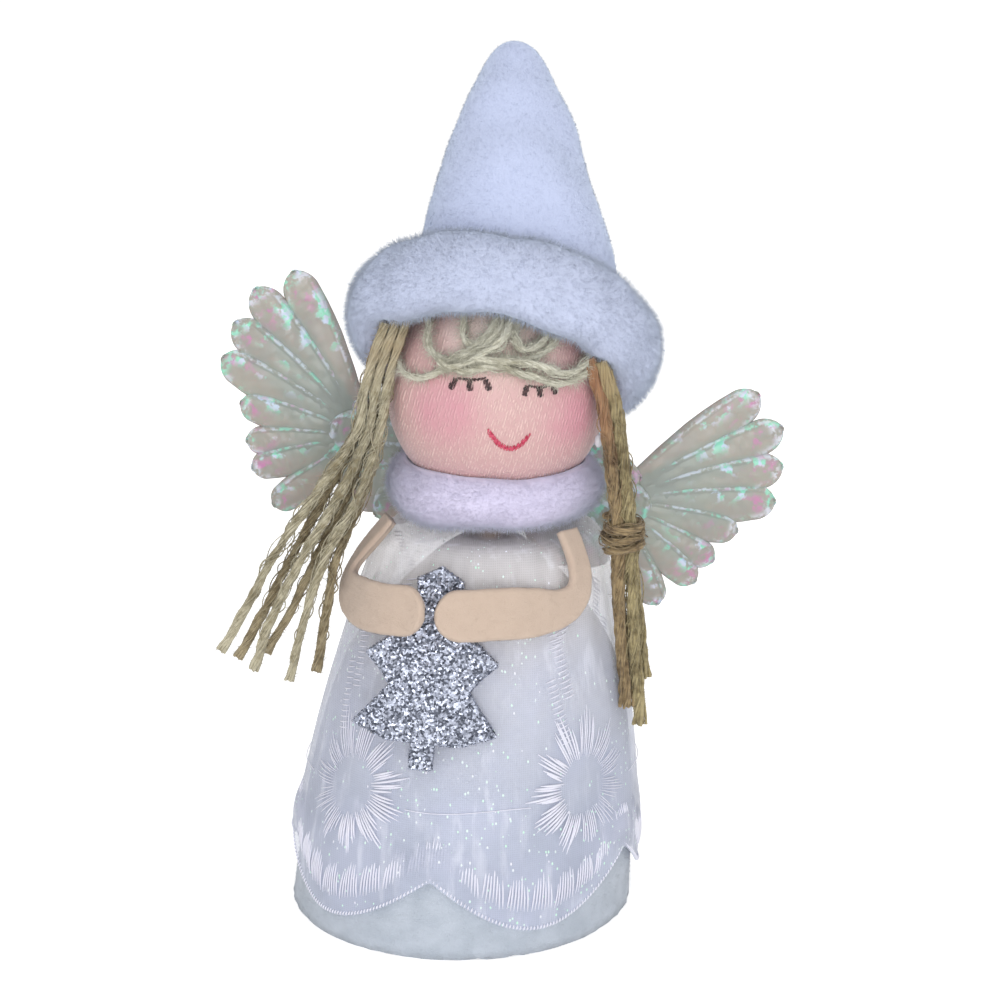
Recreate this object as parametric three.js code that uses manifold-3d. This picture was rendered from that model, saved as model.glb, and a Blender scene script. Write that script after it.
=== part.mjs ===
// Handmade angel figurine: a cloth doll on a foam core, with a plush hat, jute hair, a fur collar,
// a felt skirt under an organza overskirt, felt arms round a glitter tree and a pair of film wings.
// Millimetres, +Z up. The doll stands on the origin and looks along -Y, so its own left side is +X.
// Turns round the body are measured from the front, in degrees, growing towards the doll's left.

import * as THREE from 'three';
import { mergeVertices } from 'three/addons/utils/BufferGeometryUtils.js';
import Module from 'manifold-3d';

const wasm = await Module();
wasm.setup();

// Fits
const FIT = 0.3; // gap between two pieces that touch
const MERGE = 0.0001; // points nearer than this are one point
const OVERRUN = 1; // how far a cutting shape passes the face that it cuts

// Body and skirt: the body leans a little to the doll's left
const LEAN = 4.5; // degrees
const DISC_THICK = 1.5;
const SKIRT_RADIUS = 28.3;
const SKIRT_HEIGHT = 63;
const SKIRT_FELT = 1.2;
const SKIRT_SEGMENTS = 36;
const CORE_SEGMENTS = 24;

// Overskirt of organza
const HEM_FLARE = 1.5; // how far the hem stands off the felt skirt
const HEM_RADIUS = SKIRT_RADIUS + HEM_FLARE;
const ORGANZA = 0.4;
const SHOULDER_ROOM = 1; // between the felt and the organza at the top
const OVERSKIRT_TOP = SKIRT_HEIGHT + SHOULDER_ROOM + ORGANZA;
const HEM_LOW = 4.6; // lowest point of a scallop above the table
const SCALLOP_RISE = 9; // how far the notch between two scallops is above that
const SCALLOPS = 5;
const SCALLOP_TURN = -11; // degrees from the front to a notch
const SCALLOP_SEGMENTS = 12;
const SCALLOP_FADE = 20; // the height where the scallops no longer move the cloth
const FOLD_DEPTH = 0.7;
const FOLDS = 10;

// Neck
const PEG_RADIUS = 2;
const PEG_DEPTH = 17; // from the top of the felt skirt down into the core
const PEG_SHORT = 4.6; // the peg ends this far under the head's middle
const PEG_SIDES = 12;
const THREAD = 0.45;
const THREAD_TURNS = 1.5;

// Head: a foam ball in a satin cover, which is open round the peg
const HEAD_RADIUS = 17.6;
const HEAD_SEAT = 15; // from the middle of the collar's section up to the head's middle
const HEAD_SHIFT = 6; // to the doll's left
const SATIN = 0.5;
const HEAD_ROOM = 0.5; // between the head and the collar that is hollowed for it
const COVER_HOLE = 4.5;

// Fur collar
const COLLAR_INSET = 5.4; // the middle of its section is this far inside the head's widest place
const COLLAR_RING = HEAD_RADIUS - COLLAR_INSET;
const COLLAR_HALF_WIDTH = 5.6;
const COLLAR_HALF_HEIGHT = 5.6;
const COLLAR_HEIGHT = OVERSKIRT_TOP + 2 * FIT + COLLAR_HALF_HEIGHT; // middle of its section
const HEAD_HEIGHT = COLLAR_HEIGHT + HEAD_SEAT;
const PEG_BOTTOM = SKIRT_HEIGHT - PEG_DEPTH;
const PEG_TOP = HEAD_HEIGHT - PEG_SHORT;
const RING_CORNERS = 12; // of a fur ring's section

// Arms: strips of felt that leave the collar at the sides and meet in front
const ARM_WIDTH = 8;
const ARM_FELT = 1.5;
const ARM_DROP = 4.6; // from the middle of the collar's section down to where an arm leaves it
const ARM_FALL = 10; // from there down to the forearm's middle line
const ARM_TOP = COLLAR_HEIGHT - ARM_DROP;
const ARM_FRONT = ARM_TOP - ARM_FALL;
const ARM_REACH = 5; // how far the arms stand off the skirt at the most, past the tree's thickness
const ARM_LEAN = 16; // degrees that the forearms lean with the skirt's slope
const ARM_STEPS = 18;
const HAND_TURNS = [30, 55, 80]; // degrees round the hand's round end

// Glitter tree, cut from craft foam
const TREE_HEIGHT = 31.4;
const TREE_WIDTH = 22.4;
const TREE_THICK = 2;
const TREE_DROP = 9; // from the forearm's middle line down to the tree's middle
const TREE_MIDDLE = ARM_FRONT - TREE_DROP;
const TREE_SIDE = -4.1; // across the doll
const TREE_SLOPE = 15; // degrees, foot forward
const TREE_ROLL = 6.5; // degrees, top towards the doll's left
const ARM_STANDOFF = TREE_THICK + ARM_REACH;

// Hat, in a frame on the middle of its brim, which is tilted back and rolled to the doll's left
const HAT_TILT = 36.7; // degrees
const HAT_ROLL = 13.2; // degrees
const BRIM_SIDE = 1; // from the head's middle to the brim's middle, to the doll's left
const BRIM_BACK = 3;
const BRIM_UP = 8.6;
const BRIM_REACH = 3.3; // the middle of its section is this far outside the head
const BRIM_RING = HEAD_RADIUS + BRIM_REACH;
const BRIM_HALF_WIDTH = 5.4;
const BRIM_HALF_HEIGHT = 7.2;
const HAT_SEAT = BRIM_HALF_HEIGHT + FIT; // where the cone starts, above the middle of the brim
const HAT_HEIGHT = 44.2;
const HAT_SHIFT = 2; // of the cone to the doll's left on the brim
const HAT_RADIUS = 16.6;
const HAT_PLUSH = 1.3;
const HAT_LEAN_SIDE = -9.8; // how far the point of the hat is off the cone's seat
const HAT_LEAN_BACK = -14.2;

// Jute
const JUTE = 1.4; // diameter of a strand
const TIE_JUTE = 0.9;
const CORD_SIDES = 8;
const LOOP_SIDES = 6;
const RIGHT_BUNDLE = 4.8; // span of the middles of a pigtail's strands
const LEFT_BUNDLE = 2.9;
const LOOP_STEPS = 24;
const SELF_GAP = 0.4; // least gap of a wound tube to itself

// Fringe: one strand in loops over the forehead, in a tilted frame on the head's middle
const FRINGE_LOOPS = 6;
const FRINGE_LOOP_LENGTH = 16.9; // length of strand in a loop
const FRINGE_SWING = 105; // degrees, the most that the strand turns off its way
const FRINGE_START = -55; // degrees from the front
const FRINGE_DIP_SHARE = 0.2; // of a loop's length: how far under its way the strand starts
const FRINGE_MIDDLE = -3; // degrees under the plane through the head's middle
const FRINGE_TILT = 34; // degrees, back
const FRINGE_ROLL = 4; // degrees, towards the doll's left

// Tie round the left pigtail
const TIE_TURNS = 3;
const TIE_PITCH = 1.65;
const TIE_PLACE = 4; // the point of the strands' routes that it is wound round, counted from 0
const TIE_SLACK = 0.12; // for the strands' slope

// Wings, in a frame on the glued middle: across, up, and thickness
const WING_RISE = 1.8; // of the frame over the middle of the collar's section
const WING_ROLL = 15; // degrees, towards the doll's left
const WING_FILM = 0.8;
const WING_FOLD = 5.3; // from the middle to the fold line
const BRIDGE_TOP = -1.2;
const BRIDGE_BOTTOM = -8;
const FEATHER_FOOT_OUT = 21.7;
const FEATHER_FOOT_UP = -5.4;
const FEATHER_SEGMENTS = 6;
const FEATHER_LENGTH = 31.8;
const FEATHER_WIDTH = 7;
const COVERT_SPAN = 28;
const COVERT_HEIGHT = 24;

// Drop of glue at the left cheek
const GLUE_TURN = 67.3; // degrees from the front
const GLUE_LIFT = -20.3; // degrees over the head's middle
const GLUE_RADIUS = 0.65;
const GLUE_SIDES = 10;
const GLUE_LENGTH = 2.2;

// Outlines, as shares of the sizes that they follow
const DOME_SHARES = [ // of SKIRT_RADIUS and SKIRT_HEIGHT
  [1, 0], [0.947, 0.33], [0.866, 0.54], [0.777, 0.667], [0.7, 0.73],
  [0.618, 0.778], [0.512, 0.84], [0.4, 0.895], [0.283, 0.945], [0.15, 0.985],
];
const OVERSKIRT_SHARES = [ // of HEM_RADIUS and OVERSKIRT_TOP, and of FOLD_DEPTH
  [1, 0, 0.6], [0.98, 0.15, 0.4], [0.93, 0.326, 0.05], [0.855, 0.528, 0.05], [0.733, 0.761, 0.5],
  [0.659, 0.885, 0.8], [0.604, 0.963, 0.5], [0.555, 0.988, 0.3], [0.4, 1, 0.1],
];
const HAT_SHARES = [ // of HAT_RADIUS and HAT_HEIGHT
  [1, 0.167], [0.9, 0.362], [0.82, 0.468], [0.66, 0.627], [0.42, 0.851], [0.28, 0.945],
  [0.17, 0.985],
];
const TREE_SHARES = [ // of half TREE_WIDTH and half TREE_HEIGHT, up the doll's left side
  [0.16, -1], [0.16, -0.745], [0.52, -0.74], [1, -0.6], [0.55, -0.2], [0.7, -0.06], [0.92, 0.1],
  [0.49, 0.35], [0.28, 0.58], [0.32, 0.87],
];
const FEATHERS = [ // direction in degrees, share of FEATHER_LENGTH, share of FEATHER_WIDTH
  [53.6, 0.985, 1], [40.7, 1, 1], [28.8, 0.934, 1], [16.7, 0.874, 1],
  [3.4, 0.689, 0.86], [-13.9, 0.629, 0.8], [-28.1, 0.62, 0.8], [-50.1, 0.604, 0.8],
];
const COVERT_SHARES = [ // of COVERT_SPAN out from the fold, and of COVERT_HEIGHT up from its lowest
  [0.4, 0.12], [0.7, 0], [0.9, 0.13], [1, 0.45], [0.95, 0.75], [0.8, 0.95], [0.68, 1], [0.4, 0.84],
];
const RIGHT_ARM_SHARES = [ // turn in degrees, share of the way up to ARM_TOP, share of ARM_STANDOFF
  [-73, 0.6, 0.04], [-77, 0.3, 0.26], [-72, 0.02, 0.44], [-55, -0.06, 0.52], [-40, 0, 0.97],
  [-28, 0.06, 1],
];
const LEFT_ARM_SHARES = [
  [44, 0.6, 0.04], [47, 0.28, 0.06], [48, 0.02, 0.08], [34, -0.04, 0.12], [17, -0.03, 0.26],
  [3, 0, 0.47], [-9, 0, 0.64],
];

// Routes of the jute strands, chosen by hand, from under the brim to the cut end
const RIGHT_STRANDS = [
  [[-11.4, -7.5, 98.2], [-14.4, -9.1, 89], [-15.9, -9, 81.5], [-21.6, -9.4, 72.6],
    [-28.9, -10, 62], [-33.8, -10, 53], [-38.2, -9.8, 45.3]],
  [[-11.4, -5.6, 98.2], [-14.4, -7.2, 89], [-15.9, -7.1, 81.5], [-20.4, -7, 72],
    [-26.6, -7.6, 60.6], [-31.6, -7.6, 51], [-35.8, -7.6, 43.4]],
  [[-9.7, -7.5, 98.6], [-12.7, -9.1, 89], [-14.1, -9, 81.5], [-18.6, -9.8, 71.6],
    [-25.8, -10.6, 59.4], [-30.2, -10.8, 50.4], [-33, -10.8, 42.4]],
  [[-9.7, -5.6, 98.6], [-12.7, -7.2, 89], [-14.1, -7.1, 81.5], [-17.8, -7.6, 70.6],
    [-23.6, -8, 58.6], [-27.4, -8.2, 50.8], [-31.2, -8.6, 44.6]],
  [[-8, -7.6, 98.8], [-11, -9.2, 89], [-12.3, -9.1, 81.5], [-15.8, -10.2, 71],
    [-21, -11, 61.6], [-24.4, -11.4, 52], [-27.2, -11.8, 41]],
  [[-8, -5.7, 98.8], [-11, -7.3, 89], [-12.3, -7.2, 81.5], [-15.4, -8.1, 70.4],
    [-19.4, -9.2, 61], [-21.2, -9.8, 52], [-23, -10, 41.9]],
];
const LEFT_STRANDS = [
  [[20.2, -11.3, 93.4], [22.3, -11.2, 87], [23.9, -11, 78], [24.8, -10.7, 70],
    [25.2, -10.5, 64.8], [25.3, -10.6, 57], [25.8, -10.6, 47], [27, -10.4, 36.2]],
  [[22, -11.5, 93], [24.1, -11.3, 87], [25.7, -11, 78], [26.6, -10.7, 70],
    [27, -10.5, 64.8], [27.5, -10.5, 57], [28, -10.4, 47], [29.2, -10.2, 33]],
  [[20.4, -9.4, 93.6], [22.4, -9.3, 87], [23.9, -9.1, 78], [24.8, -8.8, 70],
    [25.2, -8.7, 64.8], [25.5, -8.5, 57], [26.2, -8.4, 47], [27.6, -8.2, 37]],
  [[22.2, -9.6, 93.2], [24.2, -9.4, 87], [25.7, -9.1, 78], [26.6, -8.8, 70],
    [27, -8.7, 64.8], [27.8, -8.6, 57], [29, -8.6, 48], [29.9, -8.4, 40.4]],
];

// The channels in the brim's fur that the pigtails come out of, along the middles of their strands
const RIGHT_CHANNEL = [[-8.9, -5.9, 101.4], [-10.2, -6.8, 96.5], [-12.7, -8.2, 89], [-14, -8, 83]];
const RIGHT_CHANNEL_WIDTH = RIGHT_BUNDLE + JUTE + 2 * FIT;
const LEFT_CHANNEL = [[20.6, -10.3, 96.2], [21.8, -10.5, 91.5], [23.3, -10.3, 87], [24.8, -10, 79]];
const LEFT_CHANNEL_WIDTH = LEFT_BUNDLE + JUTE + 2 * FIT;

const degrees = THREE.MathUtils.degToRad;
const leanAt = (height) => height * Math.tan(degrees(LEAN));

// Geometry helpers

// Joins equal points, drops triangles that have no area and turns the faces outwards.
function closed(geometry) {
  const bare = new THREE.BufferGeometry();
  bare.setAttribute('position', geometry.getAttribute('position'));
  if (geometry.index) bare.setIndex(geometry.index);
  const merged = mergeVertices(bare, MERGE);
  const point = (i) => new THREE.Vector3().fromBufferAttribute(merged.getAttribute('position'), i);
  const kept = [];
  let volume = 0;
  for (let i = 0; i < merged.index.count; i += 3) {
    const [a, b, c] = [0, 1, 2].map((k) => merged.index.getX(i + k));
    if (a === b || b === c || c === a) continue;
    kept.push(a, b, c);
    volume += point(a).dot(point(b).cross(point(c)));
  }
  merged.setIndex(volume < 0 ? kept.reverse() : kept);
  return merged;
}

function toSolid(geometry) {
  const { index, attributes } = closed(geometry);
  return new wasm.Manifold(new wasm.Mesh({
    numProp: 3,
    vertProperties: Float32Array.from(attributes.position.array),
    triVerts: Uint32Array.from(index.array),
  }));
}

function fromSolid(solid) {
  const { vertProperties, triVerts } = solid.getMesh();
  const geometry = new THREE.BufferGeometry();
  geometry.setAttribute('position', new THREE.BufferAttribute(vertProperties, 3));
  geometry.setIndex(new THREE.BufferAttribute(triVerts, 1));
  return geometry;
}

const cut = (geometry, tool) => fromSolid(toSolid(geometry).subtract(toSolid(tool)));

// Turns an outline of [radius, height] points round the +Z axis. It starts at the front.
function turned(outline, segments) {
  const points = outline.map(([radius, height]) => new THREE.Vector2(radius, height));
  return new THREE.LatheGeometry(points, segments).rotateX(Math.PI / 2);
}

// Leans a geometry with the body.
const leaned = (geometry) => geometry.applyMatrix4(
  new THREE.Matrix4().makeShear(0, 0, 0, 0, Math.tan(degrees(LEAN)), 0),
);

// The same outline moved inwards by a thickness, square to its edges.
function inset(outline, thickness) {
  return outline.map(([radius, height], i) => {
    const before = outline[Math.max(i - 1, 0)];
    const after = outline[Math.min(i + 1, outline.length - 1)];
    const along = new THREE.Vector2(after[0] - before[0], after[1] - before[1]).normalize();
    return [radius - along.y * thickness, height + along.x * thickness];
  });
}

// A closed body through rings that have the same number of points, with flat ends.
function lofted(rings) {
  const sides = rings[0].length;
  const points = rings.flat();
  const index = [];
  for (let r = 0; r + 1 < rings.length; r += 1) {
    for (let k = 0; k < sides; k += 1) {
      const [a, b] = [r * sides + k, r * sides + ((k + 1) % sides)];
      index.push(a, b, b + sides, a, b + sides, a + sides);
    }
  }
  const last = (rings.length - 1) * sides;
  for (let k = 1; k + 1 < sides; k += 1) {
    index.push(0, k + 1, k, last, last + k, last + k + 1);
  }
  const geometry = new THREE.BufferGeometry().setFromPoints(points);
  geometry.setIndex(index);
  return geometry;
}

function circleShape(radius, sides) {
  const corners = Array.from({ length: sides }, (_, k) => {
    const turn = (2 * Math.PI * k) / sides;
    return new THREE.Vector2(radius * Math.cos(turn), radius * Math.sin(turn));
  });
  return new THREE.Shape(corners);
}

// A plain tube along a smooth route.
function tube(route, diameter) {
  const path = new THREE.CatmullRomCurve3(route.map((p) => new THREE.Vector3(...p)));
  return new THREE.ExtrudeGeometry(circleShape(diameter / 2, CORD_SIDES), {
    extrudePath: path,
    steps: route.length,
    bevelEnabled: false,
    curveSegments: 1,
  });
}

// One unbroken wound tube. Each place holds its middle and the direction of its rings' first axis.
function woundTube(name, middles, outwards, diameter) {
  const rings = middles.map((middle, i) => {
    const before = middles[Math.max(i - 1, 0)];
    const after = middles[Math.min(i + 1, middles.length - 1)];
    const along = after.clone().sub(before).normalize();
    const across = new THREE.Vector3().crossVectors(along, outwards[i]).normalize();
    const outward = new THREE.Vector3().crossVectors(across, along);
    return Array.from({ length: LOOP_SIDES }, (_, k) => {
      const turn = (2 * Math.PI * k) / LOOP_SIDES;
      return middle.clone()
        .addScaledVector(outward, (diameter / 2) * Math.cos(turn))
        .addScaledVector(across, (diameter / 2) * Math.sin(turn));
    });
  });
  reportSelfGap(name, middles, diameter);
  return lofted(rings);
}

// Prints the least gap between two stretches of a wound tube that aren't neighbours along it.
function reportSelfGap(name, middles, diameter) {
  let least = Infinity;
  for (let i = 0; i < middles.length; i += 1) {
    let along = 0;
    for (let j = i + 1; j < middles.length; j += 1) {
      along += middles[j].distanceTo(middles[j - 1]);
      const between = middles[i].distanceTo(middles[j]);
      if (along > Math.PI * diameter) least = Math.min(least, between - diameter);
    }
  }
  console.log(`${name}: least gap to itself ${least.toFixed(2)} mm, wanted over ${SELF_GAP} mm`);
}

const part = new THREE.Group();

function add(name, geometry, [color, roughness, metalness], parent = part) {
  const material = new THREE.MeshStandardMaterial({ color, roughness, metalness });
  const mesh = new THREE.Mesh(closed(geometry), material);
  mesh.name = name;
  parent.add(mesh);
}

// Finishes: colour, roughness, metalness
const WHITE_FELT = ['#e2e4ea', 0.95, 0];
const FOAM = ['#f1f1f1', 0.9, 0];
const CARD = ['#e4e2dc', 0.9, 0];
const ORGANZA_CLOTH = ['#ccd2de', 0.45, 0];
const WOOD = ['#c9a878', 0.7, 0];
const THREAD_COTTON = ['#efeff2', 0.8, 0];
const FACE_SATIN = ['#e6bcbc', 0.45, 0];
const FUR = ['#cfcdea', 1, 0];
const ARM_FELT_LOOK = ['#d6c0ac', 0.95, 0];
const GLITTER = ['#a2a8b9', 0.35, 0.6];
const PLUSH = ['#c8d3ee', 1, 0];
const JUTE_LOOK = ['#8f7a5c', 0.95, 0];
const FRINGE_JUTE = ['#a69f96', 0.95, 0];
const WING_LOOK = ['#a8aca6', 0.25, 0.1];
const GLUE = ['#eef0f4', 0.2, 0];

// Body core, felt skirt and base
const domeOutline = DOME_SHARES.map(([r, h]) => [r * SKIRT_RADIUS, h * SKIRT_HEIGHT]);
const pegHole = PEG_RADIUS + FIT;

// The part of an outline that stays outside the peg's hole, ended at the hole.
function upToPeg(outline) {
  const kept = outline.filter(([radius]) => radius > pegHole);
  return [...kept, [pegHole, kept.at(-1)[1]]];
}

function skirtUnderlayer() {
  const inner = inset(domeOutline, SKIRT_FELT);
  inner[0][1] = 0;
  const shell = [...upToPeg(domeOutline), ...upToPeg(inner).reverse()];
  return leaned(turned([...shell, shell[0]], SKIRT_SEGMENTS));
}

function bodyCore() {
  const outline = inset(domeOutline, SKIRT_FELT + 2 * FIT);
  outline[0][1] = DISC_THICK + FIT;
  const socket = PEG_BOTTOM - FIT;
  const profile = [
    [0, outline[0][1]], ...upToPeg(outline), [pegHole, socket], [0, socket],
  ];
  return leaned(turned(profile, CORE_SEGMENTS));
}

function baseDisc() {
  const radius = inset(domeOutline, SKIRT_FELT)[1][0] - FIT;
  return leaned(turned([[0, 0], [radius, 0], [radius, DISC_THICK], [0, DISC_THICK]], SKIRT_SEGMENTS));
}

add('base_disc', baseDisc(), CARD);
add('body_core', bodyCore(), FOAM);
add('skirt_underlayer', skirtUnderlayer(), WHITE_FELT);

// Overskirt
const overskirtOutline = OVERSKIRT_SHARES.map(([r, h]) => [r * HEM_RADIUS, h * OVERSKIRT_TOP]);

// Linear reading of a column of a table at a height.
function atHeight(rows, height, column) {
  const above = rows.findIndex((row) => row[1] >= height);
  if (above < 1) return rows.at(above < 0 ? -1 : 0)[column];
  const [low, high] = [rows[above - 1], rows[above]];
  return THREE.MathUtils.mapLinear(height, low[1], high[1], low[column], high[column]);
}

const skirtRadius = (height) => atHeight(overskirtOutline, height, 0);
const foldShare = (height) => atHeight(OVERSKIRT_SHARES, height / OVERSKIRT_TOP, 2);

// Pushes the folds out and lifts the hem into scallops. A turn of 0 is a notch.
function draped(geometry) {
  const position = geometry.getAttribute('position');
  for (let i = 0; i < position.count; i += 1) {
    const [x, y, z] = [position.getX(i), position.getY(i), position.getZ(i)];
    const turn = Math.atan2(x, -y);
    const fold = FOLD_DEPTH * foldShare(z) * (0.5 + 0.5 * Math.cos(FOLDS * turn));
    const grown = 1 + fold / Math.hypot(x, y);
    const rise = 1 - Math.abs(Math.sin((SCALLOPS * turn) / 2));
    const hem = HEM_LOW + SCALLOP_RISE * rise;
    const height = z < SCALLOP_FADE ? hem + (z * (SCALLOP_FADE - hem)) / SCALLOP_FADE : z;
    position.setXYZ(i, x * grown, y * grown, height);
  }
  return geometry;
}

function organzaOverskirt() {
  const neck = PEG_RADIUS + FIT;
  const inner = inset(overskirtOutline, ORGANZA);
  inner[0][1] = 0;
  const [top, innerTop] = [OVERSKIRT_TOP, OVERSKIRT_TOP - ORGANZA];
  inner.at(-1)[1] = innerTop;
  const shell = [...overskirtOutline, [neck, top], [neck, innerTop], ...inner.reverse()];
  const cloth = turned([...shell, shell[0]], SCALLOPS * SCALLOP_SEGMENTS);
  return leaned(draped(cloth).rotateZ(degrees(SCALLOP_TURN)));
}

add('organza_overskirt', organzaOverskirt(), ORGANZA_CLOTH);

// Neck peg and the thread that gathers the organza round it
function neckPeg() {
  const peg = turned([[0, PEG_BOTTOM], [PEG_RADIUS, PEG_BOTTOM], [PEG_RADIUS, PEG_TOP], [0, PEG_TOP]],
    PEG_SIDES);
  return leaned(peg);
}

// Middles of a helix round the +Z axis, and its outward directions.
function helix(radius, pitch, turns, steps) {
  const places = Array.from({ length: turns * steps + 1 }, (_, i) => (2 * Math.PI * i) / steps);
  const outwards = places.map((turn) => new THREE.Vector3(Math.cos(turn), Math.sin(turn), 0));
  const middles = outwards.map((outward, i) => outward.clone().multiplyScalar(radius)
    .setZ(pitch * (places[i] / (2 * Math.PI) - turns / 2)));
  return { middles, outwards };
}

function neckThread() {
  const pitch = THREAD + SELF_GAP + FIT / 3;
  const { middles, outwards } = helix(PEG_RADIUS + FIT + THREAD / 2, pitch, THREAD_TURNS, PEG_SIDES);
  const height = OVERSKIRT_TOP + FIT + (THREAD + pitch * THREAD_TURNS) / 2;
  return woundTube('neck_thread', middles, outwards, THREAD).translate(leanAt(height), 0, height);
}

add('neck_peg', neckPeg(), WOOD);
add('neck_thread', neckThread(), THREAD_COTTON);

// Head
const headMiddle = new THREE.Vector3(HEAD_SHIFT, 0, HEAD_HEIGHT);

// The direction from a round head's middle to a place on it, by degrees from the front and upwards.
function onHead(turn, lift) {
  const front = new THREE.Vector3(0, -1, 0);
  return front.applyAxisAngle(new THREE.Vector3(1, 0, 0), -degrees(lift))
    .applyAxisAngle(new THREE.Vector3(0, 0, 1), degrees(turn));
}

function ball(radius, middle) {
  return new THREE.SphereGeometry(radius, CORE_SEGMENTS, CORE_SEGMENTS / 2).rotateX(Math.PI / 2)
    .translate(middle.x, middle.y, middle.z);
}

// A leaned rod on the neck's line, as a cutting shape.
const neckRod = (radius, from, to) => leaned(
  turned([[0, from], [radius, from], [radius, to], [0, to]], PEG_SIDES),
);

function headBall() {
  const foam = ball(HEAD_RADIUS - SATIN - FIT, headMiddle);
  return cut(foam, neckRod(pegHole, HEAD_HEIGHT - HEAD_RADIUS - OVERRUN, PEG_TOP + FIT));
}

function faceCloth() {
  const shell = cut(ball(HEAD_RADIUS, headMiddle), ball(HEAD_RADIUS - SATIN, headMiddle));
  return cut(shell, neckRod(COVER_HOLE, HEAD_HEIGHT - HEAD_RADIUS - OVERRUN, HEAD_HEIGHT));
}

add('head_ball', headBall(), FOAM);
add('face_cloth', faceCloth(), FACE_SATIN);

// Fur collar, which the head sits in
function ringOutline(ring, halfWidth, halfHeight, corners) {
  const outline = Array.from({ length: corners }, (_, k) => {
    const turn = (2 * Math.PI * k) / corners;
    return [ring + halfWidth * Math.cos(turn), halfHeight * Math.sin(turn)];
  });
  return [...outline, outline[0]];
}

function furCollar() {
  const outline = ringOutline(COLLAR_RING, COLLAR_HALF_WIDTH, COLLAR_HALF_HEIGHT, RING_CORNERS);
  const ring = turned(outline, SKIRT_SEGMENTS).translate(leanAt(COLLAR_HEIGHT), 0, COLLAR_HEIGHT);
  return cut(ring, ball(HEAD_RADIUS + HEAD_ROOM, headMiddle));
}

add('fur_collar', furCollar(), FUR);

// Arms
// A place off the overskirt's outer face, and the outward direction there, leaned by some degrees.
function onSkirt(turn, height, standoff, slope) {
  const [side, front] = [Math.sin(degrees(turn)), -Math.cos(degrees(turn))];
  const radius = skirtRadius(height) + FOLD_DEPTH + standoff;
  return {
    place: new THREE.Vector3(leanAt(height) + radius * side, radius * front, height),
    outward: new THREE.Vector3(side * Math.cos(degrees(slope)), front * Math.cos(degrees(slope)),
      Math.sin(degrees(slope))),
  };
}

// A place against the outer edge of the collar.
function besideCollar(turn) {
  const radius = COLLAR_RING + COLLAR_HALF_WIDTH - ARM_FELT / 2;
  const outward = new THREE.Vector3(Math.sin(degrees(turn)), -Math.cos(degrees(turn)), 0);
  const place = outward.clone().multiplyScalar(radius);
  return { place: place.add(new THREE.Vector3(leanAt(ARM_TOP), 0, ARM_TOP)), outward };
}

function arm(shares) {
  const onTheSkirt = shares.map(([turn, heightShare, standoffShare]) => onSkirt(
    turn,
    ARM_FRONT + heightShare * (ARM_TOP - ARM_FRONT),
    ARM_FELT / 2 + FIT + standoffShare * (ARM_STANDOFF - ARM_FELT / 2 - FIT),
    ARM_LEAN * (1 - Math.max(heightShare, 0)),
  ));
  const stations = [besideCollar(shares[0][0]), ...onTheSkirt];
  const line = new THREE.CatmullRomCurve3(stations.map(({ place }) => place));
  const facing = new THREE.CatmullRomCurve3(stations.map(({ outward }) => outward));
  const rings = [];
  for (let i = 0; i <= ARM_STEPS; i += 1) {
    const share = i / ARM_STEPS;
    rings.push(armRing(line.getPoint(share), line.getTangent(share), facing.getPoint(share),
      ARM_WIDTH / 2));
  }
  return lofted([...rings, ...hand(line, facing)]);
}

// The four corners of a strip's section.
function armRing(middle, along, outward, half) {
  const across = new THREE.Vector3().crossVectors(along, outward).normalize();
  const out = new THREE.Vector3().crossVectors(across, along).normalize();
  return [[1, 1], [-1, 1], [-1, -1], [1, -1]].map(([side, face]) => middle.clone()
    .addScaledVector(across, side * half)
    .addScaledVector(out, face * (ARM_FELT / 2)));
}

// Sections of the round end of a strip.
function hand(line, facing) {
  const [end, along, outward] = [line.getPoint(1), line.getTangent(1), facing.getPoint(1)];
  return HAND_TURNS.map((turn) => armRing(
    end.clone().addScaledVector(along, (ARM_WIDTH / 2) * Math.sin(degrees(turn))),
    along,
    outward,
    (ARM_WIDTH / 2) * Math.cos(degrees(turn)),
  ));
}

add('right_arm', arm(RIGHT_ARM_SHARES), ARM_FELT_LOOK);
add('left_arm', arm(LEFT_ARM_SHARES), ARM_FELT_LOOK);

// Glitter tree, leaned on the front of the skirt
function glitterTree() {
  const side = (sign) => TREE_SHARES.map(([across, up]) => new THREE.Vector2(
    sign * across * (TREE_WIDTH / 2),
    up * (TREE_HEIGHT / 2),
  ));
  const top = new THREE.Vector2(0, TREE_HEIGHT / 2);
  const shape = new THREE.Shape([...side(1), top, ...side(-1).reverse()]);
  const tree = new THREE.ExtrudeGeometry(shape, { depth: TREE_THICK, bevelEnabled: false });
  return tree.rotateZ(-degrees(TREE_ROLL)).rotateX(Math.PI / 2 - degrees(TREE_SLOPE));
}

const treeSeat = skirtRadius(TREE_MIDDLE) + FOLD_DEPTH;
add('glitter_tree', glitterTree().translate(TREE_SIDE, -treeSeat, TREE_MIDDLE), GLITTER);

// Hat and brim, in the hat's frame
const hat = new THREE.Group();
hat.position.copy(headMiddle).add(new THREE.Vector3(BRIM_SIDE, BRIM_BACK, BRIM_UP));
hat.rotation.set(-degrees(HAT_TILT), degrees(HAT_ROLL), 0, 'YXZ');
hat.updateMatrix();
part.add(hat);
const headInHat = headMiddle.clone().applyMatrix4(hat.matrix.clone().invert());

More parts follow.
